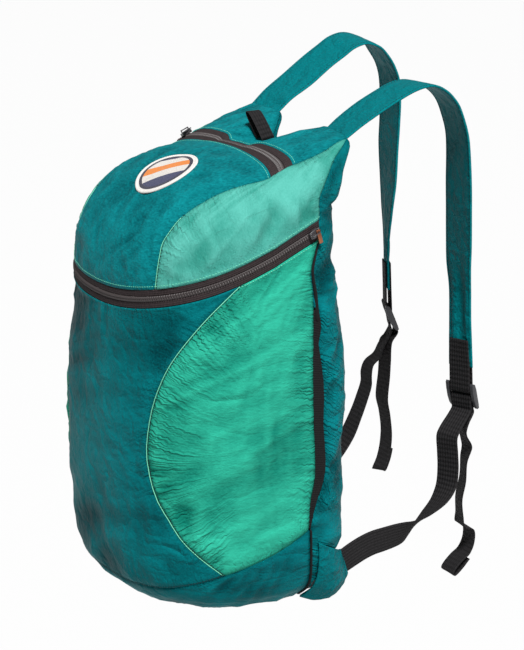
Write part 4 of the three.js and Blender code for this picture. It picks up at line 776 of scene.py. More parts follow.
# %% Tables of edges, creases and folds
# seam, edge height (mm, below 0 a valley), pucker height, reach, spacing (mm), slant
PANEL_EDGES = {
    "front_panel": [("leaf_front", -1.1, 1.6, 17, 11, 0.3), ("zip_low", 0.7, 1.5, 18, 10, 0.0),
                    ("foot_front", -1.0, 1.8, 20, 10, 0.0)],
    "side_panel": [("leaf_front", -1.2, 3.4, 26, 9, 0.15), ("leaf_rear", -1.0, 2.4, 16, 8, -0.2),
                   ("zip_low", 0.6, 1.5, 16, 9, 0.0), ("foot_leaf", -0.9, 1.6, 16, 9, 0.0)],
    "back_panel": [("riser", -1.2, 3.6, 28, 12, 0.7), ("tape_edge", -1.0, 4.4, 32, 15, 0.8),
                   ("leaf_rear", -0.8, 3.4, 24, 12, 0.5), ("lid_rear", -1.0, 2.4, 22, 10, 0.3),
                   ("back_edge", -1.0, 1.8, 34, 12, 0.2), ("foot_back", -1.4, 1.6, 24, 14, 0.0)],
    "bottom_panel": [("foot_front", -1.0, 1.0, 20, 12, 0.0), ("foot_back", -1.4, 1.5, 26, 14, 0.0),
                     ("foot_leaf", -0.9, 1.0, 18, 11, 0.0), ("riser", -1.2, 1.4, 20, 10, 0.0)],
    "seam_tape": [("leaf_rear", -0.5, 0.6, 20, 8, 0.0)],
    "lid_front_panel": [("lid_front", -0.9, 1.3, 16, 9, 0.2), ("zip_high", 0.6, 1.4, 16, 9, 0.1),
                        ("pocket_front", 0.4, 0.6, 12, 8, 0.0)],
    "lid_side": [("lid_front", -0.8, 2.2, 24, 9, 0.2), ("zip_high", 0.6, 1.8, 18, 9, 0.1),
                 ("pocket_end", 0.3, 0.9, 14, 7, 0.0), ("yoke_side", -0.8, 2.8, 20, 7, 0.1),
                 ("lid_rear", -0.9, 1.2, 18, 9, 0.0)],
    "yoke_panel": [("pocket_rear", 0.4, 0.6, 12, 8, 0.0), ("yoke_side", -0.8, 1.2, 16, 8, 0.0),
                   ("back_edge", -0.8, 1.5, 30, 10, 0.2)],
}
# crease height, facet size, soft swell height, swell size (mm)
PANEL_CREASES = {
    "front_panel": (0.9, 44, 1.6, 80), "side_panel": (1.0, 30, 1.4, 46),
    "back_panel": (1.5, 40, 2.2, 60), "bottom_panel": (1.5, 40, 1.2, 60),
    "seam_tape": (0.3, 12, 0.0, 40), "lid_front_panel": (0.8, 20, 0.9, 50),
    "lid_side": (0.95, 26, 1.0, 40), "yoke_panel": (0.8, 20, 0.8, 40),
}
# long folds: height, direction (degrees from level), length and width (mm)
PANEL_FOLDS = {
    "front_panel": [(1.6, 14, 80, 22), (0.7, 128, 60, 16), (2.4, 40, 120, 60)],
    "side_panel": [(2.6, 5, 80, 17), (0.8, 82, 60, 10), (2.6, 8, 170, 48)],
    "back_panel": [(3.4, 45, 50, 19), (1.6, -15, 60, 12)],
    "bottom_panel": [(2.2, 20, 60, 18)], "seam_tape": [(1.2, 10, 20, 12)],
    "lid_front_panel": [(0.9, 35, 50, 10), (0.9, 115, 50, 9), (1.6, 60, 90, 32)],
    "lid_side": [(1.9, 48, 60, 14), (1.0, 105, 40, 9)], "yoke_panel": [(1.5, 75, 40, 10)],
}
print("panels with folds:", len(PANEL_FOLDS))


# %% The height of the cloth
def streaks(a, b, direction, long, wide, seed):
    """Long folds: a noise stretched along a direction, with its crests pinched and its length
    broken up by a second, slower noise."""
    c, s = math.cos(math.radians(direction)), math.sin(math.radians(direction))
    flat = np.stack([(a * c + b * s) / long, (b * c - a * s) / wide, np.full(a.shape, 0.5)], -1)
    bend = noise(flat * [0.7, 0.25, 1], 1.0, seed + 3)
    flat[..., 1] += 0.8 * bend
    crest = 0.35 - np.abs(noise(flat, 1.0, seed)) * 1.3
    return crest * np.clip(0.65 + 0.9 * noise(flat * [0.8, 0.3, 1], 1.0, seed + 9), 0.1, 1.3)


def edge_shape(points, edge, height, pucker, reach, spacing, slant, seed):
    """Height at a seam: a bump or valley that ends within 4 mm, plus puckers, a random wave
    along the seam with its crests sharpened, that fades away from it."""
    away, run = near_line(points, edge)
    x = (run + slant * away) / spacing
    ridge = 0.42 - 1.25 * np.abs(wave(x, seed)) + 0.35 * wave(x * 2.3, seed + 1)
    rising = 1 - np.exp(-(away / 4.0)**2)
    lip = height * np.exp(-(away / (3.6 if height > 0 else 2.2))**2)
    strength = 0.55 + 0.45 * wave(run / (spacing * 4), seed + 2)
    return (lip + pucker * ridge * strength * rising * np.exp(-away / reach), away,
            run + slant * away, pucker * (0.7 + 0.5 * strength) * np.exp(-away / reach))


def cloth_panel(name):
    """The panel's outer face: its place on the sack moved out by edges, puckers, creases and
    swells, and its inner face one cloth behind."""
    kind = name.replace("_right", "").replace("_left", "")
    points, normals = panel_points[name], panel_normals[name]
    height = np.zeros(points.shape[:2])
    nearest = np.full(points.shape[:2], 1e3)
    second, along, held = nearest.copy(), nearest * 0, nearest * 0
    sides = {"left": [left], "right": [right]}.get(name.split("_")[-1], [right, left])
    for n, (seam, *shape) in enumerate(PANEL_EDGES[kind]):
        edges = [across_seams[seam]] if seam in across_seams else [side[seam] for side in sides]
        for m, edge in enumerate(edges):
            part, away, run, share = edge_shape(points, edge, *shape,
                                                seed=40 + 7 * n + 3 * m + len(name))
            height += part
            closer = away < nearest
            second = np.where(closer, nearest, np.minimum(second, away))
            along, held = np.where(closer, run, along), np.where(closer, share, held)
            nearest = np.minimum(nearest, away)
    crease, facet, swell, lump = PANEL_CREASES[kind]
    free = 1 - np.exp(-(nearest / 11)**2)
    seed = 11 * len(name) + len(kind)
    height += free * (crease * 2.2 * creases(points * [1, 1, 0.8], facet, seed)
                      + swell * noise(points * [1, 1, 0.55], lump, seed + 5))
    a, b = surface_runs(points)
    near = 1 - np.exp(-(nearest / 5)**2)
    for n, fold in enumerate(PANEL_FOLDS[kind]):
        height += near * fold[0] * 1.6 * streaks(a, b, *fold[1:], seed + 20 + n)
    outer = points + normals * height[..., None]
    inner = outer - normals * CLOTH
    # painted shade: a share from the height in the folds, low in the valleys and high on the
    # crests, by which the cloth's material darkens or lightens its base colour
    fold = np.clip(0.55 + 0.26 * height / height.std(), 0, 1)
    held *= np.clip((second - nearest) / 10, 0, 1)      # no pucker where two seams are as near
    marks = {"fold": fold.ravel(), "seam": np.stack([along, nearest, held], -1).reshape(-1, 3)}
    panel_outer[name] = outer
    return sheet_of_cloth(name + "_cloth", outer, inner, np.stack([a, b], -1) / 100, marks)


panel_outer = {}
pieces = {}
for name in panel_points:
    pieces[name] = cloth_panel(name)
print("panels:", len(pieces), "faces:", sum(len(p.data.polygons) for p in pieces.values()))

# %% [markdown]
# ## Threads and piping
# The stitches are little bars of thread that sink at both ends, one every three millimetres. They
# could be a picture on the cloth, but a bar is one small shape copied along a line, as a sewing
# machine makes it, and it catches the light. The pale piping along the front of each leaf is a
# cord of folded cloth and the seam tape's edges are rolled, so thin tubes do for both.

# %% Lines beside a seam
def beside(grid, side, inward):
    """The line on a panel's face a distance inward from one of its four sides."""
    turned = {"left": grid, "right": grid[:, ::-1], "bottom": np.swapaxes(grid, 0, 1),
              "top": np.swapaxes(grid[::-1], 0, 1)}[side]
    step = np.linalg.norm(turned[:, 1] - turned[:, 0], axis=-1)
    place = np.clip(inward / np.maximum(step, 0.3), 0, turned.shape[1] - 1.01)
    i = place.astype(int)
    u = (place - i)[:, None]
    k = np.arange(len(turned))
    return turned[k, i] * (1 - u) + turned[k, i + 1] * u


def evenly_along(line, step, *others):
    """The line, and anything given at its points, read again at an even step."""
    run = run_of(line)
    at = np.arange(step / 2, run[-1], step)
    read = [np.stack([np.interp(at, run, v[:, c]) for c in range(v.shape[1])], -1)
            for v in (line, *others)]
    return read if others else read[0]


def unit(v):
    """Vectors of the same directions and length one."""
    return v / np.maximum(np.linalg.norm(v, axis=-1, keepdims=True), 1e-9)


# %% Tubes and stitches
def line_frames(line, out):
    """Ahead, side and out for every point of a line."""
    ahead = unit(np.gradient(line, axis=0))
    side = unit(np.cross(ahead, out))
    return ahead, side, unit(np.cross(side, ahead))


def tube(name, line, out, radius, around=8):
    """A round cord: a circle carried along a line, closed by its shrunken ends. The radius may
    be one number or one for every point."""
    _, side, out = line_frames(line, out)
    angle = np.linspace(0, 2 * np.pi, around, endpoint=False)
    size = np.broadcast_to(np.asarray(radius, float), len(line)).copy()
    size[0] = size[-1] = 0.02
    circle = side[:, None] * np.cos(angle)[:, None] + out[:, None] * np.sin(angle)[:, None]
    points = line[:, None] + circle * size[:, None, None]
    return to_mesh(name, points, ring_faces(len(line), around))


def ring_faces(rows, around):
    """Faces of a tube of rings, with both end rings closed by strips of four."""
    j, i = np.meshgrid(np.arange(rows - 1), np.arange(around), indexing="ij")
    a, b = j * around + i, j * around + (i + 1) % around
    body = np.stack([a, a + around, b + around, b], -1).reshape(-1, 4)
    k = np.arange(around // 2 - 1)
    cap = np.stack([k + 1, around - 2 - k, around - 1 - k, k], -1)
    last = (rows - 1) * around
    return np.concatenate([body, cap, last + cap[:, ::-1]])


def stitches(name, lines, pitch=3.0, long=2.2, thick=0.32):
    """Bars of thread along lines of (points, outward): each is a stretched bead whose ends dip."""
    x = np.array([-0.5, -0.3, 0.0, 0.3, 0.5])
    angle = np.linspace(0, 2 * np.pi, 6, endpoint=False)
    wide = np.array([0.45, 0.9, 1.0, 0.9, 0.45])
    parts = []
    for line, out in lines:
        at, lift = evenly_along(line, pitch, out)
        ahead, side, up = line_frames(at, lift)
        rise = thick * np.array([-0.9, 0.3, 0.55, 0.3, -0.9])[:, None]
        shape = (ahead[:, None, None] * (x * long)[None, :, None, None]
                 + side[:, None, None] * (wide[:, None] * np.cos(angle) * thick)[..., None]
                 + up[:, None, None] * (rise + wide[:, None] * np.sin(angle) * thick)[..., None])
        points = at[:, None, None] + shape
        one = ring_faces(5, 6)
        faces = (one[None] + 30 * np.arange(len(at))[:, None, None]).reshape(-1, 4)
        parts.append((points, faces))
    return joined_mesh(name, parts)


def seam_stitches(name, rows, **sizes):
    """Stitches beside seams: rows of (panel, side, distance inward)."""
    lines = []
    for panel, side, inward in rows:
        line = beside(panel_outer[panel], side, inward)
        lines.append((line, beside(panel_normals[panel], side, inward)))
    return stitches(name, lines, **sizes)


# %% Piping, bindings and threads
piping = []
for way, side in (("right", "left"), ("left", "right")):
    for panel, part, radius in (("side_panel_", "leaf", 0.42), ("lid_side_", "lid", 0.36)):
        line = beside(panel_outer[panel + way], side, 0.4)
        out = beside(panel_normals[panel + way], side, 0.5)
        piping.append((panel + way, tube(part + "_piping_" + way, line + out * 0.3, out, radius)))
bindings = []
for way, side in (("right", 1), ("left", -1)):
    upper = leaf_rear[TAPE_LAST - 4:] + np.column_stack([
        np.linspace(2.2, 0.3, ROWS_WALL - TAPE_LAST + 5), np.zeros(ROWS_WALL - TAPE_LAST + 5)])
    for part, seam, radius in (("upper", upper, np.linspace(2.4, 0.9, len(upper))),
                               ("lower", riser + [0.4, 0], np.linspace(1.5, 1.1, len(riser)))):
        seam = seam * [side, 1]
        out = facing_out(seam, sack)
        cord = tube("binding_" + part + "_" + way, sack(seam) - out * 0.6, out, radius)
        bindings.append((way, cord))
threads_dark = seam_stitches("dark_threads", [
    ("side_panel_right", "left", 1.9), ("side_panel_left", "right", 1.9),
    ("front_panel", "bottom", 2.2), ("lid_side_right", "left", 1.7),
    ("lid_side_left", "right", 1.7)], thick=0.42, long=2.4)
threads_light = seam_stitches("light_threads", [
    ("lid_front_panel", "bottom", 3.0), ("lid_side_right", "bottom", 3.0),
    ("lid_side_left", "bottom", 3.0), ("side_panel_right", "top", 3.0),
    ("side_panel_left", "top", 3.0), ("lid_front_panel", "top", 2.6),
    ("yoke_panel", "bottom", 2.6)], thick=0.26)
print("stitches:", len(threads_dark.data.polygons) // 34, len(threads_light.data.polygons) // 34)

# %% [markdown]
# ## Zips
# A coil zip is one nylon wire wound into a spring along each tape, and closed the two springs
# show as ribs that take turns to the left and right of the middle. A real wire could be wound
# along each tape, but a strip whose height rises and falls gives the same ribs with far fewer
# faces. They are drawn 2.6 mm apart, coarser than the real 1.3 mm, so that they can still be told
# apart from two metres away.

# %% Tapes and coils
def band_grid(rows_of_seams):
    """Points and outward directions over a stack of seam lines."""
    seams = np.stack(rows_of_seams)
    return sack(seams), facing_out(seams, sack)


def zip_tape(name, rows_of_seams):
    """A woven band laid on the sack, one tape thick."""
    points, normals = band_grid(rows_of_seams)
    return sheet_of_cloth(name, points, points - normals * TAPE,
                          np.stack(surface_runs(points), -1) / 100)


COIL_PITCH = 2.6                 # mm between ribs


def zip_coil(name, rows_of_seams):
    """Ribs across the chain: a raised cosine along each half, half a pitch apart, under an arch
    from side to side with a groove between the halves."""
    points, normals = band_grid(rows_of_seams)
    run = run_of(points[len(points) // 2])
    at = np.linspace(0, run[-1], int(run[-1] / COIL_PITCH * 7) + 1)
    fine = [np.stack([np.stack([np.interp(at, run, row[:, c]) for c in range(3)], -1)
                      for row in rows]) for rows in (points, normals)]
    w = np.linspace(-1, 1, len(points))[:, None]
    arch = np.sqrt(np.maximum(0, 1 - np.abs(w)**3.0))
    rib = 0.5 + 0.5 * np.cos(2 * np.pi * (at[None] / COIL_PITCH + 0.25 * np.sign(w)))
    middle = 1 - 0.45 * np.exp(-(w / 0.16)**2)
    height = arch * middle * (0.25 + 1.3 * rib)
    outer = fine[0] + fine[1] * height[..., None]
    a = np.broadcast_to(at, height.shape)
    b = np.broadcast_to(w * ZIP_CHAIN / 2, height.shape)
    return sheet_of_cloth(name, outer, fine[0] - fine[1] * TAPE, np.stack([a, b], -1) / 100)


# %% The two zips
def main_line(height):
    """The line along the main zip, a height above its lower edge."""
    return with_level(turns_band, height)


tape_wide, half_chain = (ZIP_BAND - ZIP_CHAIN) / 2, ZIP_CHAIN / 2
# frame node, name, maker, line along the zip, first and last place across, rows
for node, name, maker, line, low, high, rows in (
        ("main_zip_tape_lower", "main_tape_lower", zip_tape, main_line, 0, tape_wide, 6),
        ("main_zip_tape_upper", "main_tape_upper", zip_tape, main_line,
         tape_wide + ZIP_CHAIN, ZIP_BAND, 6),
        ("main_zip_chain", "main_coil", zip_coil, main_line,
         tape_wide, tape_wide + ZIP_CHAIN, 10),
        ("pocket_zip_tape_front", "pocket_tape_front", zip_tape, pocket_line,
         -half_band, -half_chain, 6),
        ("pocket_zip_tape_rear", "pocket_tape_rear", zip_tape, pocket_line,
         half_chain, half_band, 6),
        ("pocket_zip_chain", "pocket_coil", zip_coil, pocket_line, -half_chain, half_chain, 10)):
    pieces[node] = maker(name, [line(place) for place in np.linspace(low, high, rows)])
print("coil faces:", len(pieces["main_zip_chain"].data.polygons))

# %% [markdown]
# ## Hard parts
# The sliders, pulls and ladder locks are cast or moulded, so every edge has a small radius. They
# could be modelled again, but their shapes are already exact in the frame: a merged copy whose
# edges a Bevel modifier rounds is all they need.

# %% Rounded copies
def rounded_copy(node, radius):
    """A copy of a frame node with its shared corners merged and its sharp edges rounded."""
    mesh = frame["nodes"][node].data.copy()
    bm = bmesh.new()
    bm.from_mesh(mesh)
    bmesh.ops.remove_doubles(bm, verts=bm.verts, dist=2e-6)
    bmesh.ops.dissolve_limit(bm, angle_limit=math.radians(2), verts=bm.verts, edges=bm.edges)
    bm.to_mesh(mesh)
    bm.free()
    mesh.materials.clear()
    copy = bpy.data.objects.new(node + "_rounded", mesh)
    bpy.context.scene.collection.objects.link(copy)
    soft = copy.modifiers.new("edges", "BEVEL")
    soft.width, soft.segments, soft.limit_method = radius / 1000, 3, "ANGLE"
    soft.angle_limit = math.radians(28)
    mesh.polygons.foreach_set("use_smooth", np.ones(len(mesh.polygons), bool))
    return copy


for radius, nodes in ((0.35, ("main_zip_slider", "pocket_zip_slider")),
                      (0.25, ("main_zip_pull", "pocket_zip_pull")),
                      (0.6, ("ladder_lock_right", "ladder_lock_left"))):
    for node in nodes:
        pieces[node] = rounded_copy(node, radius)
print("rounded copies:", len([n for n in pieces.values() if n.modifiers]))

# %% [markdown]
# ## Straps and webbing
# Each strap is a flat tube of the dark cloth, stitched along both edges, that arches up and back
# from the yoke, turns down and narrows into its ladder lock. A flat curve with a width could make
# it, but a strap also twists, narrows and creases. So it is a cross-section carried along a route,
# and a short table gives where it goes, how wide it is and how it turns.


# %% Bands along a route
def route(rows, at):
    """The smooth curve through rows of numbers, by the length along their first three columns."""
    rows = np.asarray(rows, float)
    run = run_of(rows[:, :3])
    return through(np.column_stack([run / run[-1], rows]), at)


def band_frames(at, across, square=1.0):
    """Ahead, side and out along a band whose width is turned square to its way ahead."""
    ahead = unit(np.gradient(at, axis=0))
    lean = np.sum(across * ahead, -1, keepdims=True) * np.reshape(square, (-1, 1))
    side = unit(across - lean * ahead)
    return ahead, side, unit(np.cross(side, ahead))


def band(name, at, across, wide, section, square=1.0, shape=None, columns=28):
    """A closed band: a rounded flat section carried along a route. section(w, wide) gives half
    the thickness at a place across, and shape(run, w) moves the band along its normal."""
    _, side, out = band_frames(at, across, square)
    w = np.sin(np.linspace(-np.pi / 2, np.pi / 2, columns))
    w = 0.35 * np.linspace(-1, 1, columns) + 0.65 * w
    wide = np.broadcast_to(np.asarray(wide, float), len(at))
    run = run_of(at)
    half = section(w[None], wide[:, None])
    middle = at[:, None] + side[:, None] * (w[None] * wide[:, None] / 2)[..., None]
    move = shape(run[:, None], w[None]) if shape else 0 * half
    top = middle + out[:, None] * (move + half)[..., None]
    low = middle + out[:, None] * (move - half)[..., None]
    loop = np.concatenate([top, low[:, ::-1]], axis=1)
    u = np.broadcast_to(run[:, None], half.shape)
    v = w[None] * wide[:, None] / 2
    uv = np.stack([np.concatenate([u, u], 1), np.concatenate([v, v[:, ::-1] + 80], 1)], -1) / 100
    rows, around = loop.shape[:2]
    return to_mesh(name, loop, ring_faces(rows, around)[:, ::-1], uv)


STITCH_INSET = 3.0               # from a strap's edge to its stitches


def strap_section(w, wide):
    """Half thickness of a strap: full in the middle, a channel where it is stitched, a round
    edge."""
    inward = (1 - np.abs(w)) * wide / 2
    edge = np.clip(inward / 1.2, 0, 1)
    return (STRAP_THICKNESS / 2 * np.sqrt(1 - (1 - edge)**2)
            - 0.45 * np.exp(-((inward - STITCH_INSET) / 1.0)**2)
            + 0.25 * (1 - w * w)) * (inward > 1e-6)


def webbing_section(w, wide):
    """Half thickness of woven webbing: flat, with thin round edges."""
    edge = np.clip((1 - np.abs(w)) * wide / 2 / 0.8, 0, 1)
    return WEBBING / 2 * np.sqrt(1 - (1 - edge)**2)


print("a strap is", round(2 * float(strap_section(np.zeros(1), STRAP_WIDTH)[0]), 2), "mm thick")

# %% Routes of the straps
# back (share of the reach), rise (of the arch), drop, width, yaw and roll in degrees
STRAP_ROUTES = {
    "right": [
        [0.09, 0.13, 0.000, 1.00, -4, 0],
        [0.24, 0.32, 0.000, 1.00, 0, 0],
        [0.40, 0.49, 0.000, 1.00, 0, 0],
        [0.49, 0.57, 0.000, 1.00, 1, 0],
        [0.57, 0.61, 0.000, 1.00, 2, 0],
        [0.64, 0.61, 0.000, 1.00, 2, 0],
        [0.72, 0.55, 0.000, 1.00, -3, 0],
        [0.80, 0.44, 0.000, 1.00, -8, 0],
        [0.865, 0.61, 0.073, 1.00, -9, 0],
        [0.915, 0.61, 0.127, 1.00, -9, 0],
        [0.950, 0.61, 0.183, 1.00, -9, 0],
        [0.965, 0.61, 0.250, 1.00, -8, 0],
        [0.975, 0.61, 0.350, 1.00, -6, 0],
        [0.983, 0.61, 0.450, 1.00, -6, 0],
        [0.990, 0.61, 0.550, 0.97, -5, 0],
        [0.995, 0.61, 0.633, 0.88, -3, 0],
        [1.012, 0.61, 0.717, 0.74, 0, 0],
        [1.021, 0.61, 0.810, 0.65, 6, 0],
        [1.030, 0.61, 0.900, 0.61, 13, 0],
        [1.040, 0.61, 0.990, 0.58, 20, 0],
    ],
    "left": [
        [0.09, 0.17, 0.000, 1.00, -3, 3],
        [0.24, 0.38, 0.000, 1.00, -6, 4],
        [0.40, 0.63, 0.000, 1.00, -4, 5],
        [0.51, 0.78, 0.000, 1.00, -3, 6],
        [0.60, 0.90, 0.000, 1.00, -1, 7],
        [0.70, 0.955, 0.000, 1.00, 1, 7],
        [0.79, 0.915, 0.000, 1.00, 5, 6],
        [0.86, 0.83, 0.000, 1.00, 9, 4],
        [0.92, 0.955, 0.062, 1.00, 10, 0],
        [0.973, 0.955, 0.102, 1.00, 10, 0],
        [1.007, 0.955, 0.148, 1.00, 9, 0],
        [1.020, 0.955, 0.212, 1.00, 9, 0],
        [1.020, 0.955, 0.295, 1.00, 10, 0],
        [1.013, 0.955, 0.392, 1.00, 11, 0],
        [1.017, 0.955, 0.518, 0.97, 15, 0],
        [1.013, 0.955, 0.612, 0.88, 20, 0],
        [1.013, 0.955, 0.695, 0.76, 25, 0],
        [1.013, 0.955, 0.762, 0.66, 27, 0],
        [1.020, 0.955, 0.830, 0.60, 27, 0],
        [1.028, 0.955, 0.905, 0.57, 27, 0],
    ],
}
print("rows of a strap:", {name: len(rows) for name, rows in STRAP_ROUTES.items()})

# %% Routes of the webbing
# along and height (shares of the way from lock to tab), then the direction across
WEBBING_ROUTES = {
    "right": [
        [0.100, 0.860, 0.90, 0.42, 0.00],
        [0.125, 0.800, 0.90, 0.42, 0.00],
        [0.116, 0.667, 0.90, 0.44, 0.00],
        [0.107, 0.514, 0.90, 0.44, 0.02],
        [0.120, 0.368, 0.91, 0.38, 0.05],
        [0.180, 0.257, 0.93, 0.20, 0.12],
        [0.286, 0.174, 0.93, -0.20, 0.20],
        [0.363, 0.125, 0.82, -0.48, 0.32],
        [0.430, 0.090, 0.60, -0.55, 0.60],
        [0.500, 0.072, 0.25, -0.50, 0.84],
        [0.583, 0.070, 0.05, -0.42, 0.91],
        [0.673, 0.070, -0.05, -0.36, 0.93],
        [0.756, 0.070, -0.10, -0.35, 0.93],
        [0.840, 0.056, -0.12, -0.38, 0.92],
        [0.923, 0.030, -0.12, -0.44, 0.90],
    ],
    "left": [
        [0.060, 0.900, 0.93, 0.36, 0.00],
        [0.085, 0.845, 0.95, 0.30, 0.00],
        [0.135, 0.800, 0.98, 0.20, 0.00],
        [0.152, 0.740, 0.99, 0.10, 0.00],
        [0.152, 0.670, 0.99, 0.10, 0.00],
        [0.175, 0.590, 0.99, 0.08, 0.00],
        [0.215, 0.480, 0.99, 0.05, 0.02],
        [0.276, 0.348, 0.98, -0.05, 0.10],
        [0.380, 0.220, 0.90, -0.20, 0.30],
        [0.500, 0.130, 0.60, -0.40, 0.65],
        [0.640, 0.085, 0.20, -0.42, 0.88],
        [0.800, 0.060, -0.05, -0.40, 0.92],
        [0.910, 0.030, -0.12, -0.44, 0.90],
    ],
}
# back and down (shares of the tail's drop), then the direction across
TAIL_ROUTES = {
    "right": [
        [-0.018, 0.060, 0.93, 0.10, 0.00],
        [-0.008, 0.124, 0.93, -0.30, 0.00],
        [0.027, 0.219, 0.95, -0.20, 0.15],
        [0.009, 0.302, 0.93, -0.36, 0.00],
        [0.005, 0.419, 0.93, -0.38, 0.00],
        [-0.018, 0.530, 0.93, -0.36, 0.00],
        [-0.010, 0.636, 0.93, -0.30, 0.00],
        [-0.003, 0.694, 0.95, -0.20, 0.00],
        [0.057, 0.728, 0.97, -0.12, 0.00],
        [0.061, 0.802, 0.97, -0.12, 0.00],
        [0.031, 0.866, 0.97, -0.10, 0.00],
        [-0.021, 0.903, 0.98, -0.08, 0.00],
        [-0.068, 0.945, 0.98, -0.08, 0.00],
        [-0.085, 0.973, 0.98, -0.08, 0.00],
        [-0.069, 0.984, 0.98, -0.08, 0.00],
        [-0.021, 0.950, 0.98, -0.08, 0.00],
        [0.027, 0.902, 0.98, -0.08, 0.00],
    ],
    "left": [
        [-0.063, 0.061, 0.99, 0.05, 0.00],
        [-0.068, 0.178, 0.99, 0.06, 0.00],
        [-0.072, 0.272, 0.99, 0.06, 0.00],
        [-0.084, 0.417, 0.99, 0.04, 0.00],
        [-0.063, 0.511, 0.99, 0.08, 0.00],
        [-0.046, 0.628, 0.99, 0.10, 0.00],
        [-0.050, 0.722, 0.98, 0.08, -0.10],
        [-0.067, 0.800, 0.98, 0.05, -0.16],
        [-0.092, 0.858, 0.98, 0.02, -0.20],
        [-0.094, 0.872, 0.98, 0.02, -0.20],
        [-0.083, 0.866, 0.98, 0.02, -0.20],
        [-0.055, 0.802, 0.98, 0.05, -0.18],
        [-0.038, 0.730, 0.98, 0.06, -0.14],
    ],
}
print("rows of a tail:", {name: len(rows) for name, rows in TAIL_ROUTES.items()})

# %% Sizes of the corner tabs
# the point in shares of half the width, half the depth and the height; its direction across
TAB_TIP = np.array([0.787, 0.860, 0.078])
TAB_ACROSS = np.array([-0.08, -0.44, 0.89])
TAB_FEET = np.array([[120.5, 0.000], [116.5, 0.190]])
TAB_BULGE, TAB_SWELL, TAB_THICKNESS = 10.0, 8.5, 2.6
TAB_STEPS, TAB_STITCH_ROW = 40, 37
print("tab point (mm):", TAB_TIP * [SACK_WIDTH / 2, SACK_DEPTH / 2, CROWN_HEIGHT])

# %% From table to strap
STRAP_ROWS = 44


def strap_rows(name):
    """Route rows of one strap (place, width, direction across), from its root on the yoke."""
    side = ROOTS[name]["side"]
    corners = sack(np.array([[side * INNER_TURN, BACK_EDGE], [side * OUTER_TURN, BACK_EDGE]]))
    root, across = corners.mean(axis=0), unit(corners[1] - corners[0])
    back, rise, drop, wide, yaw, roll = np.array(STRAP_ROUTES[name]).T
    yaw, roll = np.radians(yaw), np.radians(roll)
    rows = np.column_stack([
        np.full(len(back), side * STRAP_SPREAD / 2), root[1] + back * STRAP_REACH,
        root[2] + rise * STRAP_ARCH - drop * STRAP_DROP, STRAP_WIDTH * wide,
        side * np.cos(yaw) * np.cos(roll), np.sin(yaw) * np.cos(roll), np.sin(roll)])
    lead = unit(np.array([0, 0.78, 0.62]))
    turns = np.linspace(INNER_TURN, OUTER_TURN, 4)
    gap = sack(np.column_stack([side * turns, root_level(turns)])) - root
    gap -= np.outer(gap @ across, across)
    start = root + lead * ((gap @ lead).max() - ROOT_LAP)
    return np.vstack([[*start, STRAP_WIDTH, *across], rows])


def strap_creases(name, rows):
    """Creases where the strap leaves the yoke, faint ones along it, and a fold lengthwise where
    it narrows towards the lock."""
    seed = 5 if name == "right" else 17

    def shape(run, w):
        share = run / run[-1]
        wide = np.interp(share, np.linspace(0, 1, len(rows)), rows[:, 3])
        flat = np.stack(np.broadcast_arrays(run * 0.8, w * wide / 2, 0 * run), -1)
        crumple = 0.32 + 1.1 * np.exp(-run / 22) + 0.7 * np.exp(-((share - 0.86) / 0.09)**2)
        narrow = np.clip((0.97 - wide / STRAP_WIDTH) / 0.4, 0, 1)
        fold = 2.6 * narrow * np.cos(np.pi * (w * 1.6 - 0.25)) * (1 - w**4)
        edge = 1 - np.abs(w)**6
        return edge * (crumple * creases(flat, 16, seed)
                       + fold * np.exp(-((share - 0.74) / 0.2)**2))

    return shape


# %% The straps and the threads along their edges
straps, strap_edges = {}, []
for name in ("right", "left"):
    rows = strap_rows(name)
    share = np.linspace(0, 1, STRAP_ROWS * 6 + 1)
    read = route(rows, share)
    at, wide, across = read[:, :3], read[:, 3], unit(read[:, 4:])
    square = np.clip(share * STRAP_ROWS / 4, 0, 1)
    pieces["shoulder_strap_" + name] = band("strap_" + name, at, across, wide, strap_section,
                                            square, strap_creases(name, read), columns=36)
    straps[name] = at, across
    _, side, out = band_frames(at, across, square)
    for way in (-1, 1):
        for face in (-1, 1):
            line = at + side * (way * (wide / 2 - STITCH_INSET))[:, None] + out * (face * 0.85)
            strap_edges.append((line[4:-4], out[4:-4] * face))
strap_threads = stitches("strap_threads", strap_edges, pitch=3.4, long=2.4, thick=0.27)
print("strap length:", round(float(run_of(straps["right"][0])[-1])), "mm")


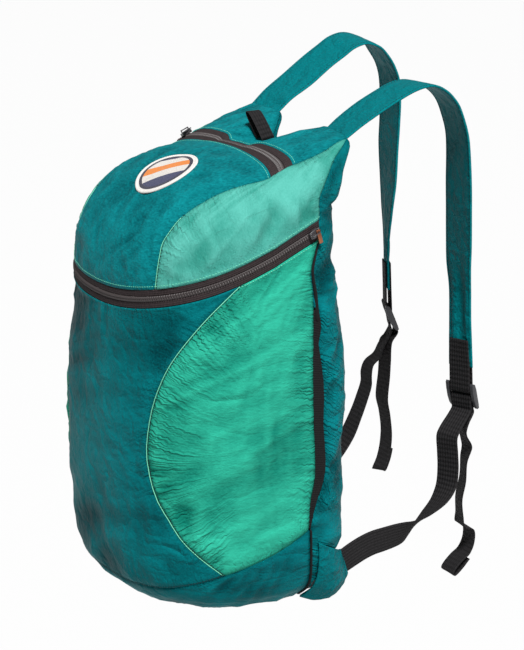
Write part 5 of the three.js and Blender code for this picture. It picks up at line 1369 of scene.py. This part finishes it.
# %% Webbing round the locks
def harness(name):
    """Routes of the webbing at one lock: sewn over the strap's end and round the upper bar, and
    the long one from its free tail through the lock to the corner of the sack."""
    side, tilt = ROOTS[name]["side"], math.radians(ROOTS[name]["tilt"])
    at, across = (line[::6] for line in straps[name])
    down = unit(at[-1] - at[-3])
    across_end = unit(across[-1] - down * (across[-1] @ down))
    outward = unit(np.cross(across_end, down) * side)
    outward = -outward if outward[1] < 0 else outward
    bar = at[-1] + down * LOCK_HANG
    lock_down = down * math.cos(tilt) + outward * math.sin(tilt)
    lock_out = outward * math.cos(tilt) - down * math.sin(tilt)
    wrap = LOCK_BAR / 2 + 0.4 + WEBBING / 2
    below = LOCK_LENGTH * 0.72
    lip = below - 2.6

    def in_lock(d, n):
        return bar + lock_down * d + lock_out * n

    _, _, out = band_frames(at, across)
    out = out * np.where(out @ outward < 0, -1, 1)[:, None]
    gap = STRAP_THICKNESS / 2 + 0.6 + WEBBING / 2
    legs = [np.column_stack([at[-4:] + out[-4:] * way * gap, across[-4:]]) for way in (-1, 1)]
    angle = np.radians(np.linspace(-90, 90, 9))[:, None]
    over = np.column_stack([bar + outward * wrap * np.sin(angle) + down * wrap * np.cos(angle),
                            np.tile(across_end, (9, 1))])
    sewn = np.vstack([legs[0], over, legs[1][::-1]])

    tab_tip = np.array([side * TAB_TIP[0] * SACK_WIDTH / 2, TAB_TIP[1] * SACK_DEPTH / 2,
                        TAB_TIP[2] * CROWN_HEIGHT])
    flip = np.array([side, 1, 1])
    leave = in_lock(lip + 6, 0)
    tail = np.array([[leave[0], leave[1] + back * TAIL_DROP, leave[2] - fall * TAIL_DROP,
                      *unit(flip * a)] for back, fall, *a in TAIL_ROUTES[name]])[::-1]
    inside = np.array([[*in_lock(d, n), *across_end] for d, n in (
        (lip + 6, -0.2), (lip + 1, -0.3), (BAR_STEP + 4.4, 2.6), (BAR_STEP + 1, 0.4 + wrap),
        (BAR_STEP - wrap * 0.75, 0.4 + wrap * 0.72), (BAR_STEP - wrap * 1.04, 0.2),
        (BAR_STEP - wrap * 0.75, 0.4 - wrap * 0.8), (BAR_STEP + 1, 0.2 - wrap),
        (lip - 3, -3.6), (lip + 3, -4.4))])
    front = in_lock(lip + 4, -4.6)
    load = np.array([[front[0] + (tab_tip[0] - front[0]) * along,
                      front[1] + (tab_tip[1] - front[1]) * along,
                      tab_tip[2] + (front[2] - tab_tip[2]) * high, *unit(flip * a)]
                     for along, high, *a in WEBBING_ROUTES[name]])
    tab_across = unit(flip * TAB_ACROSS)
    web = np.vstack([tail, inside, load, [[*tab_tip, *tab_across]]])
    return sewn, web, tab_tip, tab_across


def webbing_band(name, rows, step=1.4):
    """A webbing along route rows (place, direction across), read every step."""
    run = run_of(rows[:, :3])
    share = np.linspace(0, 1, int(run[-1] / step) + 1)
    read = route(rows, share)
    return band(name, read[:, :3], unit(read[:, 3:]), WEBBING_WIDTH, webbing_section, columns=16)


print("webbing rows at a lock:", len(harness("right")[1]))

# %% [markdown]
# ## Corner tabs
# Where the lower webbing meets the sack, a folded scrap of the strap cloth spreads its pull. It
# could be cut from the sack's panel, but it is simpler as a blend from a line on the sack to the
# end of the webbing, swollen and crumpled.

# %% Webbing and corner tabs
def corner_tab(name, tab_tip, tab_across, reach):
    """A blend between two lines: its foot on the sack, its far edge on the webbing, bowed out
    by a parabola and creased."""
    side = ROOTS[name]["side"]
    edge = unit(tab_across - reach * (tab_across @ reach))
    steps = np.linspace(0, 1, TAB_STEPS + 1)
    s, u = np.meshgrid(steps, steps, indexing="ij")
    feet = TAB_FEET[0] + (TAB_FEET[1] - TAB_FEET[0]) * u[0][:, None]
    feet = feet * [side, 1]
    foot = sack(feet) + facing_out(feet, sack) * (0.6 + TAB_THICKNESS / 2)
    far = tab_tip + edge * ((u[0] - 0.5) * (WEBBING_WIDTH + 2))[:, None] + reach * 0.9
    bow = 4 * s * (1 - s)
    low = TAB_BULGE * bow * (1 - u)
    middle = (foot[None] * (1 - s[..., None]) + far[None] * s[..., None]
              + np.stack([side * TAB_SWELL * bow, 0.2 * low, -low], -1))
    normals = grid_normals(middle)
    half = TAB_STEPS // 2
    normals = normals * np.sign(np.sum(normals[half, half] * [side, 0.3, 0]))
    crumple = creases(middle, 13, 3) * 1.7 * np.sqrt(bow) - 0.5 * np.exp(-((1 - s) * 30 - 3)**2)
    outer = middle + normals * (TAB_THICKNESS / 2 + crumple)[..., None]
    inner = middle - normals * (TAB_THICKNESS / 2 - 0.4 * crumple)[..., None]
    if side > 0:
        outer, inner = outer[:, ::-1], inner[:, ::-1]
    a, b = surface_runs(outer)
    made = sheet_of_cloth("corner_tab_" + name, outer, inner, np.stack([a, b], -1) / 100)
    return made, (outer[TAB_STITCH_ROW], grid_normals(outer)[TAB_STITCH_ROW])


tab_lines = []
for name in ("right", "left"):
    sewn, web, tab_tip, tab_across = harness(name)
    pieces["strap_end_webbing_" + name] = webbing_band("sewn_webbing_" + name, sewn, 1.0)
    pieces["adjuster_webbing_" + name] = webbing_band("adjuster_webbing_" + name, web)
    reach = unit(web[-1, :3] - web[-2, :3])
    pieces["corner_tab_" + name], line = corner_tab(name, tab_tip, tab_across, reach)
    tab_lines.append(line)
print("corner tab faces:", len(pieces["corner_tab_right"].data.polygons))

# %% [markdown]
# ## Hang loop
# A short piece of narrow webbing stands up from the yoke, to hang the pack by. It is the same kind
# of band as the straps, so the same function carries it along a rounded arch.


# %% Hang loop
def hang_loop():
    """A short webbing arch that leans forward and to the left, both feet on the yoke."""
    x0, y0 = -0.088 * SACK_WIDTH / 2, 0.660 * SACK_DEPTH / 2
    half = LOOP_SPAN / 2
    x, y = np.meshgrid([x0 + half, x0 - half], y0 + np.array([-0.5, 0, 0.5]) * LOOP_WIDTH,
                       indexing="ij")
    feet = 1.6 + sack(seam_under(x, y))[..., 2].max(axis=1)
    share = np.linspace(0, 1, 65)
    c, s = np.cos(np.pi * share), np.sin(np.pi * share)
    high = LOOP_HEIGHT * np.maximum(s, 0)**0.75
    at = np.column_stack([x0 + half * np.sign(c) * np.abs(c)**0.7 - 0.62 * high, y0 - 0.20 * high,
                          feet[0] + (feet[1] - feet[0]) * share + high])
    across = np.tile([0.0, 1.0, 0.0], (65, 1))
    return band("hang_loop", at, across, LOOP_WIDTH, webbing_section, columns=14)


pieces["hang_loop"] = hang_loop()
print("hang loop faces:", len(pieces["hang_loop"].data.polygons))

# %% [markdown]
# ## The round patch
# The patch is an embroidered disc with a thick overlocked rim, sewn to the curved lid. A flat disc
# would stand off the lid at its edge, so the patch is made of rings that lie on the lid. It has
# plain slanting bands.

# %% Patch
def round_patch():
    """Rings round a point of the lid, each point moved over the surface by Newton's steps until
    it lies at its place in the plan of the patch, then lifted by the rim's profile."""
    centre = seam_under(0.088 * SACK_WIDTH / 2, -0.456 * SACK_DEPTH / 2)
    at, out = sack(centre), facing_out(centre[None], sack)[0]
    right_way = unit(sack(centre + [0.4, 0]) - sack(centre - [0.4, 0]))
    up_way = unit(np.cross(out, right_way))
    face = np.concatenate([np.linspace(0.02, 0.85, 20), np.linspace(0.88, 0.995, 12), [1.0]])
    share = np.concatenate([face, [1.0, 0.6, 0.02]])       # the face, then back along the underside
    angle = np.linspace(0, 2 * np.pi, 240, endpoint=False)
    p = np.cos(angle)[None] * share[:, None] * PATCH_DIAMETER / 2
    q = np.sin(angle)[None] * share[:, None] * PATCH_DIAMETER / 2
    disc = np.broadcast_to(lid_disc(centre), p.shape + (2,)).copy()
    for _ in range(10):
        here = sack(lid_seam(disc))
        du = (sack(lid_seam(disc + [DISC_STEP, 0])) - here) / DISC_STEP
        dv = (sack(lid_seam(disc + [0, DISC_STEP])) - here) / DISC_STEP
        gap = here - at
        ex, ey = p - gap @ right_way, q - gap @ up_way
        det = (du @ right_way) * (dv @ up_way) - (du @ up_way) * (dv @ right_way)
        disc += np.stack([(ex * (dv @ up_way) - ey * (dv @ right_way)) / det,
                          ((du @ right_way) * ey - (du @ up_way) * ex) / det], -1)
    seams = lid_seam(disc)
    points, normals = sack(seams), facing_out(seams, sack)
    inward = (1 - share[:, None]) * PATCH_DIAMETER / 2
    thread = 0.16 * np.cos(angle * 150) * np.exp(-((inward - 1.4) / 1.2)**2)
    rim = 1.15 * np.sqrt(np.clip(1 - ((inward - 1.5) / 1.5)**2, 0, 1))
    height = 0.45 + np.maximum(rim, 0.75 * np.clip(inward / 2.0, 0, 1)) + thread
    height[len(face):] = 0.1
    uv = np.stack([p, q], -1) / (PATCH_DIAMETER / 2)
    return to_mesh("patch", points + normals * height[..., None],
                   ring_faces(len(share), len(angle)), uv)


pieces["emblem_patch"] = round_patch()
print("pieces:", len(pieces), "of", len(frame["nodes"]))

# %% [markdown]
# ## Materials
# The sack is ripstop nylon: a very fine plain weave with a heavier thread every millimetre or
# two, coated on the inside. The coating makes it crisp, so it keeps fine sharp creases, and light
# comes back from inside the dyed threads, so that even its shine is tinted and weak. Webbing and
# zip tape are the same nylon in a coarse weave, which scatters light and looks matt. Pictures of
# cloth could be wrapped round the pieces, but patterns worked out by nodes stay sharp at any
# distance and can be dyed another colour by two numbers.

# %% One function for nodes, one for colours
def linear(hex_colour):
    """A linear colour from an sRGB one written in hex."""
    value = np.array([int(hex_colour[k:k + 2], 16) for k in (1, 3, 5)]) / 255
    value = np.where(value <= 0.04045, value / 12.92, ((value + 0.055) / 1.055)**2.4)
    return (*value, 1.0)


def add_node(tree, kind, settings=None, links=None):
    """Adds one node. Settings name a property or a socket; links name a socket's source."""
    node = tree.nodes.new("ShaderNode" + kind)
    for key, value in (settings or {}).items():
        if isinstance(key, str) and key not in node.inputs:
            setattr(node, key, value)
        else:
            node.inputs[key].default_value = value
    for key, source in (links or {}).items():
        tree.links.new(source, node.inputs[key])
    return node


def new_material(name, colour, roughness, **constant):
    """A material with one Principled node; the constants go straight on its sockets."""
    material = bpy.data.materials.new(name)
    material.use_nodes = True
    tree = material.node_tree
    shader = tree.nodes["Principled BSDF"]
    shader.inputs["Base Color"].default_value = linear(colour)
    shader.inputs["Roughness"].default_value = roughness
    for key, value in constant.items():
        shader.inputs[key.replace("_", " ")].default_value = value
    return material, tree, shader


print("middle grey in linear light:", round(float(linear("#808080")[0]), 3))


# %% Patterns that several finishes share
def mottle_and_painted_shade(tree, shader, light, dark, terms, spread):
    """Base colour between a light and a dark colour of the dye, by a weighted sum of patterns: each
    term is a socket, its weight and its usual value. Random tone and weave are real changes of the
    dye; a term from the height in the folds makes the dark end painted shade in the valleys."""
    value, middle = None, 0.0
    for socket, weight, usual in terms:
        links = {0: socket} if value is None else {0: socket, 2: value}
        value = add_node(tree, "Math", {"operation": "MULTIPLY_ADD", 1: weight, 2: 0.0},
                         links).outputs[0]
        middle += weight * usual
    ramp = add_node(tree, "ValToRGB", {}, {"Fac": value})
    ramp.color_ramp.elements[0].position = max(middle - spread, 0.0)
    ramp.color_ramp.elements[1].position = min(middle + spread, 1.0)
    ramp.color_ramp.elements[0].color = linear(dark)
    ramp.color_ramp.elements[1].color = linear(light)
    tree.links.new(ramp.outputs["Color"], shader.inputs["Base Color"])


def soft_noise(tree, where, size, detail=2.0, stretch=(1, 1, 1), bend=0.3):
    """A noise whose lumps measure so many mm, stretched where a share is below one, and bent."""
    flat = add_node(tree, "VectorMath", {"operation": "MULTIPLY", 1: stretch}, {0: where})
    return add_node(tree, "TexNoise", {"Scale": 1000 / size, "Detail": detail, "Distortion": bend},
                    {"Vector": flat.outputs["Vector"]}).outputs["Fac"]


def crease_lines(tree, fac):
    """How far a noise is from its middle value: flat facets that meet in sharp lines."""
    off = add_node(tree, "Math", {"operation": "SUBTRACT", 1: 0.5}, {0: fac})
    return add_node(tree, "Math", {"operation": "ABSOLUTE"}, {0: off.outputs[0]}).outputs[0]


def bumped(tree, shader, height, millimetres, strength=1.0):
    """Adds a relief of so many millimetres on top of any that the shader has already."""
    before = shader.inputs["Normal"].links
    links = {"Height": height}
    if before:
        links["Normal"] = before[0].from_socket
    bump = add_node(tree, "Bump", {"Distance": millimetres / 1000, "Strength": strength}, links)
    tree.links.new(bump.outputs["Normal"], shader.inputs["Normal"])


# %% Ripstop nylon
THREAD = 1.4                     # mm between heavier threads
ALONG_RAY, BESIDE_RAY = 1 / 70, 1 / 6          # a pucker is 70 mm long and 6 mm wide


def ripstop(name, light, dark, crinkles, pucker=2.6, weights=(0.62, 0.4, 0.3), folded=True):
    """Ripstop nylon: dyed thread with a heavier one every 1.4 mm, packing creases in several
    sizes (size, height, stretch), and puckers that run away from the nearest seam. On folded
    panels the base colour also carries painted shade: darker in the valleys of the folds and
    lighter on their crests, by the first of the weights."""
    material, tree, shader = new_material(name, light, 0.5, IOR=1.53, Specular_IOR_Level=0.04)
    shader.inputs["Specular Tint"].default_value = linear("#5fc4bb")
    place = add_node(tree, "TexCoord")
    speckle = soft_noise(tree, place.outputs["Object"], 1.7, 2.0, crinkles[-1][2])
    parts = add_node(tree, "SeparateXYZ", {}, {0: place.outputs["UV"]})
    threads = []
    for axis in ("X", "Y"):                    # the map counts decimetres
        scaled = add_node(tree, "Math", {"operation": "MULTIPLY", 1: 100 / THREAD},
                          {0: parts.outputs[axis]})
        threads.append(add_node(tree, "Math", {"operation": "PINGPONG", 1: 0.5},
                                {0: scaled.outputs[0]}).outputs[0])
    weave = add_node(tree, "Math", {"operation": "MINIMUM"}, {0: threads[0], 1: threads[1]})
    terms = [(speckle, weights[1], 0.5), (weave.outputs[0], weights[2], 0.17)]
    # painted shade: the height in the folds darkens the base colour in the valleys and lightens it
    # on the crests
    if folded:                                 # crests catch the light that valleys lose
        fold = add_node(tree, "Attribute", {"attribute_name": "fold"}).outputs["Fac"]
        terms.append((fold, weights[0], 0.55))
    mottle_and_painted_shade(tree, shader, light, dark, terms, 0.42)
    for size, height, stretch in crinkles:
        lump = soft_noise(tree, place.outputs["Object"], size, 1.5, stretch)
        bumped(tree, shader, crease_lines(tree, lump), height)
    if folded:
        seam = add_node(tree, "Attribute", {"attribute_name": "seam"}).outputs["Vector"]
        held = add_node(tree, "SeparateXYZ", {}, {0: seam})
        # the mark counts millimetres along the seam and away from it
        fan = soft_noise(tree, seam, 1000, 1.0, (BESIDE_RAY, ALONG_RAY, 0), 0.0)
        rays = add_node(tree, "Math", {"operation": "MULTIPLY"},
                        {0: crease_lines(tree, fan), 1: held.outputs["Z"]})
        bumped(tree, shader, rays.outputs[0], pucker)
    bumped(tree, shader, speckle, 0.35)
    bumped(tree, shader, weave.outputs[0], -0.15)
    return material


# %% Woven bands
def woven(name, colour, dark, pitch, relief, roughness=0.78):
    """A coarse narrow weave: ribs about two pitches (mm) apart crossed by wider ones, as relief
    by the map. At a scale of one a wave texture repeats every pi / 10 of a unit, and the map
    counts decimetres. Real ribs are a millimetre or less apart; these are coarser, to show."""
    material, tree, shader = new_material(name, colour, roughness, IOR=1.53,
                                          Specular_IOR_Level=0.2)
    place = add_node(tree, "TexCoord")
    speckle = soft_noise(tree, place.outputs["Object"], 2.5, 4.0)
    mottle_and_painted_shade(tree, shader, colour, dark, [(speckle, 1.0, 0.5)], 0.25)
    for direction, share in (("Y", 1.0), ("X", 0.6)):
        wave_node = add_node(tree, "TexWave", {
            "bands_direction": direction, "Scale": 100 / pitch / 6.283 * share,
            "Distortion": 0.4, "Detail Scale": 2.0}, {"Vector": place.outputs["UV"]})
        bumped(tree, shader, wave_node.outputs["Fac"], relief)
    return material


# %% Moulded, cast and drawn parts
def plain(name, colour, roughness, speck=0.03, **constant):
    """Acetal, zinc, copper or nylon wire: even colour, and a faint unevenness in how it shines,
    in grains of about a millimetre."""
    material, tree, shader = new_material(name, colour, roughness, **constant)
    place = add_node(tree, "TexCoord")
    grain = add_node(tree, "TexNoise", {"Scale": 900.0, "Detail": 3.0},
                     {"Vector": place.outputs["Object"]})
    spread = add_node(tree, "MapRange", {"To Min": roughness - 0.06, "To Max": roughness + 0.08},
                      {"Value": grain.outputs["Fac"]})
    tree.links.new(spread.outputs[0], shader.inputs["Roughness"])
    bumped(tree, shader, grain.outputs["Fac"], speck)
    return material


# %% Embroidered cotton
def stepped(tree, source, low, high, colours):
    """Plain steps of colour along a value that runs from low to high."""
    spread = add_node(tree, "MapRange", {"From Min": low, "From Max": high}, {"Value": source})
    ramp = add_node(tree, "ValToRGB", {}, {"Fac": spread.outputs[0]})
    ramp.color_ramp.interpolation = "CONSTANT"
    ramp.color_ramp.elements.remove(ramp.color_ramp.elements[1])
    ramp.color_ramp.elements[0].color = linear(colours[0][1])
    for position, colour in colours[1:]:
        ramp.color_ramp.elements.new(position).color = linear(colour)
    return ramp.outputs["Color"]


def embroidery():
    """Stitched cotton: bands across the disc by the map, a dark ring, and a pale rim."""
    material, tree, shader = new_material("patch thread", "#bdbab5", 0.7, IOR=1.5,
                                          Sheen_Weight=0.1, Specular_IOR_Level=0.3)
    place = add_node(tree, "TexCoord")
    parts = add_node(tree, "SeparateXYZ", {}, {0: place.outputs["UV"]})
    slanted = add_node(tree, "Math", {"operation": "MULTIPLY_ADD", 1: -0.9},
                       {0: parts.outputs["X"], 2: parts.outputs["Y"]})
    flat = add_node(tree, "CombineXYZ", {}, {"X": parts.outputs["X"], "Y": parts.outputs["Y"]})
    far = add_node(tree, "VectorMath", {"operation": "LENGTH"}, {0: flat.outputs[0]})

    bands = stepped(tree, slanted.outputs[0], -1.35, 1.35, (
        (0.0, "#1d2146"), (0.34, "#b9b4ae"), (0.52, "#bf6a10"), (0.68, "#b9b4ae"),
        (0.84, "#1d2146")))
    outside = stepped(tree, far.outputs["Value"], 0, 1, ((0.0, "#000000"), (0.76, "#ffffff")))
    edge = stepped(tree, far.outputs["Value"], 0, 1, ((0.0, "#14122a"), (0.86, "#c4c1bc")))
    mix = add_node(tree, "MixRGB", {}, {"Fac": outside, "Color1": bands, "Color2": edge})
    tree.links.new(mix.outputs["Color"], shader.inputs["Base Color"])
    # slanting threads 0.7 mm apart: the map is one unit for half the patch
    thread = add_node(tree, "TexWave", {"bands_direction": "DIAGONAL", "Scale": 22.0,
                                        "Distortion": 1.5}, {"Vector": place.outputs["UV"]})
    bumped(tree, shader, thread.outputs["Fac"], 0.25)
    return material


# %% The finishes
# how creases are stretched: alike all ways, lengthwise from front to back, and slanting
SQUARE, LEVEL, SLANTED = (1, 1, 1), (1, 0.35, 1), (0.7, 0.45, 1.1)
# The light colours are those of the dye itself, so they are darker than the lit cloth looks, except
# the lid's mint, which is painted paler as painted light. On the sack's panels the dark colours are
# partly random tone and partly painted shade in the valleys of the folds.
finishes = {
    "teal_cloth": ripstop("teal ripstop", "#066c71", "#012d32",
                          [(34, 9.0, LEVEL), (12, 2.6, LEVEL), (5, 0.6, SQUARE)]),
    "lid_cloth": ripstop("creased teal ripstop", "#0b7378", "#01383e",
                         [(20, 2.2, SLANTED), (6, 0.9, SLANTED), (3, 0.5, (0.6, 0.5, 1.2))],
                         weights=(0.35, 0.8, 0.25)),
    "strap_cloth": ripstop("strap ripstop", "#087b80", "#013a40",
                           [(18, 5.0, SQUARE), (6, 1.6, SQUARE)], folded=False),
    "mint_cloth": ripstop("mint ripstop", "#2a987f", "#05584b",
                          [(30, 6.0, LEVEL), (10, 1.3, LEVEL), (5, 0.4, LEVEL)], pucker=3.4),
    # painted light: the lid's mint is paler and greyer than the lower panels' mint, standing in for
    # light from above and whitish highlights on the lid
    "lid_mint": ripstop("creased mint ripstop painted light", "#4c958a", "#1f6c60",
                        [(30, 5.5, (1, 1, 0.5)), (10, 0.7, (1, 1, 0.5))], pucker=2.4,
                        weights=(0.6, 0.4, 0.2)),
    "seam_tape": woven("binding tape", "#0b0a0b", "#070607", 1.2, 0.25, 0.85),
    "zip_tape": woven("zip tape", "#2a2122", "#1c1516", 1.0, 0.22, 0.8),
    "zip_coil": plain("nylon coil", "#2f2929", 0.5, IOR=1.53, Specular_IOR_Level=0.4),
    "slider_metal": plain("enamelled zinc", "#2b292b", 0.38, Coat_Weight=0.4, Coat_Roughness=0.2),
    "pull_metal": plain("copper", "#a86c50", 0.36, Metallic=1.0),
    "patch": embroidery(),
    "webbing": woven("nylon webbing", "#141214", "#0a090a", 1.5, 0.45, 0.82),
    "lock_plastic": plain("acetal", "#2c2c2f", 0.42, IOR=1.48),
    "dark_thread": plain("dark thread", "#032427", 0.7, IOR=1.53, Specular_IOR_Level=0.2),
    "pale_thread": plain("pale thread", "#62b596", 0.7, IOR=1.53, Specular_IOR_Level=0.2),
}
print("materials:", len(finishes))

# %% [markdown]
# ## Handing the pieces over
# Every piece takes the place of the frame node it stands for and rides on the same body. It also
# keeps the name of its finish as a slot, so that the same pack can be dyed other colours without
# touching the shapes.

# %% Finish, slot and frame node of every piece
NODE_FINISH = {
    "front_panel": "teal_cloth", "back_panel": "teal_cloth", "bottom_panel": "teal_cloth",
    "lid_front_panel": "lid_cloth", "yoke_panel": "lid_cloth",
    "side_panel_right": "mint_cloth", "side_panel_left": "mint_cloth",
    # the lid's side panels take the mint that is painted paler as painted light
    "lid_side_right": "lid_mint", "lid_side_left": "lid_mint",
    "seam_tape_right": "seam_tape", "seam_tape_left": "seam_tape",
    "main_zip_chain": "zip_coil", "pocket_zip_chain": "zip_coil",
    "main_zip_slider": "slider_metal", "pocket_zip_slider": "slider_metal",
    "main_zip_pull": "pull_metal", "pocket_zip_pull": "slider_metal",
    "emblem_patch": "patch", "hang_loop": "webbing",
}
for word, finish in (("zip_tape", "zip_tape"), ("webbing", "webbing"), ("strap_", "strap_cloth"),
                     ("tab_", "strap_cloth"), ("lock_", "lock_plastic")):
    for node in pieces:
        if node not in NODE_FINISH and word in node:
            NODE_FINISH[node] = finish


def hand_over(piece, node, finish):
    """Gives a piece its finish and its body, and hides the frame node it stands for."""
    piece.data.materials.append(finishes[finish])
    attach(piece, "root")
    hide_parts(node)


for node, piece in pieces.items():
    finish = NODE_FINISH[node]
    hand_over(piece, node, finish)
for node, cord in piping:
    hand_over(cord, node, "pale_thread")
for way, cord in bindings:
    hand_over(cord, "seam_tape_" + way, "seam_tape")
hand_over(threads_dark, "side_panel_right", "dark_thread")
hand_over(threads_light, "lid_front_panel", "pale_thread")
hand_over(strap_threads, "shoulder_strap_right", "dark_thread")
tab_threads = stitches("tab_threads", tab_lines, pitch=3.2)
hand_over(tab_threads, "corner_tab_right", "dark_thread")
triangles = sum(len(o.data.polygons) * 2 for o in bpy.data.objects if o.type == "MESH")
print("finished pieces:", len(pieces), "triangles about", triangles)

# %% [markdown]
# ## The picture
# The pack is held in the air over a pale floor, in soft even light with a large lamp high up on
# its right, so its folds show. A bright sky or a floor close below would light them from all round
# and flatten them, so the sky is dim and the floor lies well down.

# %% Floor, light and camera
floor_mesh = bpy.data.meshes.new("floor")
floor_mesh.from_pydata([(-30, -30, -1.9), (30, -30, -1.9), (30, 30, -1.9), (-30, 30, -1.9)], [],
                       [(0, 1, 2, 3)])
floor = bpy.data.objects.new("floor", floor_mesh)
bpy.context.scene.collection.objects.link(floor)
floor_paint, _, _ = new_material("pale floor", "#b4b4b4", 0.95)
floor_mesh.materials.append(floor_paint)

world = bpy.data.worlds.new("even light")
bpy.context.scene.world = world
world.use_nodes = True
world.node_tree.nodes["Background"].inputs["Color"].default_value = (1, 1, 1, 1)
world.node_tree.nodes["Background"].inputs["Strength"].default_value = 0.2

sun = bpy.data.lights.new("soft_lamp", "SUN")
sun.energy, sun.angle = 7.3, math.radians(18)
lamp = bpy.data.objects.new("soft_lamp", sun)
bpy.context.scene.collection.objects.link(lamp)
LAMP_TURN, LAMP_HEIGHT = math.radians(72), math.radians(57)
lamp.rotation_euler = (math.pi / 2 - LAMP_HEIGHT, 0, LAMP_TURN)
bpy.context.scene.view_settings.view_transform = "Standard"

middle = metres([0, 0, 240])
camera_data = bpy.data.cameras.new("camera")
camera = bpy.data.objects.new("camera", camera_data)
bpy.context.scene.collection.objects.link(camera)
bpy.context.scene.camera = camera
AZIMUTH, HEIGHT, DISTANCE = math.radians(60), math.radians(15), 2.2
camera.location = middle + DISTANCE * np.array([
    math.sin(AZIMUTH) * math.cos(HEIGHT), -math.cos(AZIMUTH) * math.cos(HEIGHT), math.sin(HEIGHT)])
camera.rotation_euler = (math.pi / 2 - HEIGHT, 0, AZIMUTH)
PICTURE, SENSOR, FOCUS = 650, 36, 2200             # its longer side, mm, and the lens in pixels
camera_data.lens = FOCUS * SENSOR / PICTURE
camera_data.sensor_width = SENSOR
camera_data.shift_x, camera_data.shift_y = 56 / PICTURE, 27 / PICTURE
camera_data.clip_end = 200
print("camera at (m):", [round(v, 3) for v in camera.location])
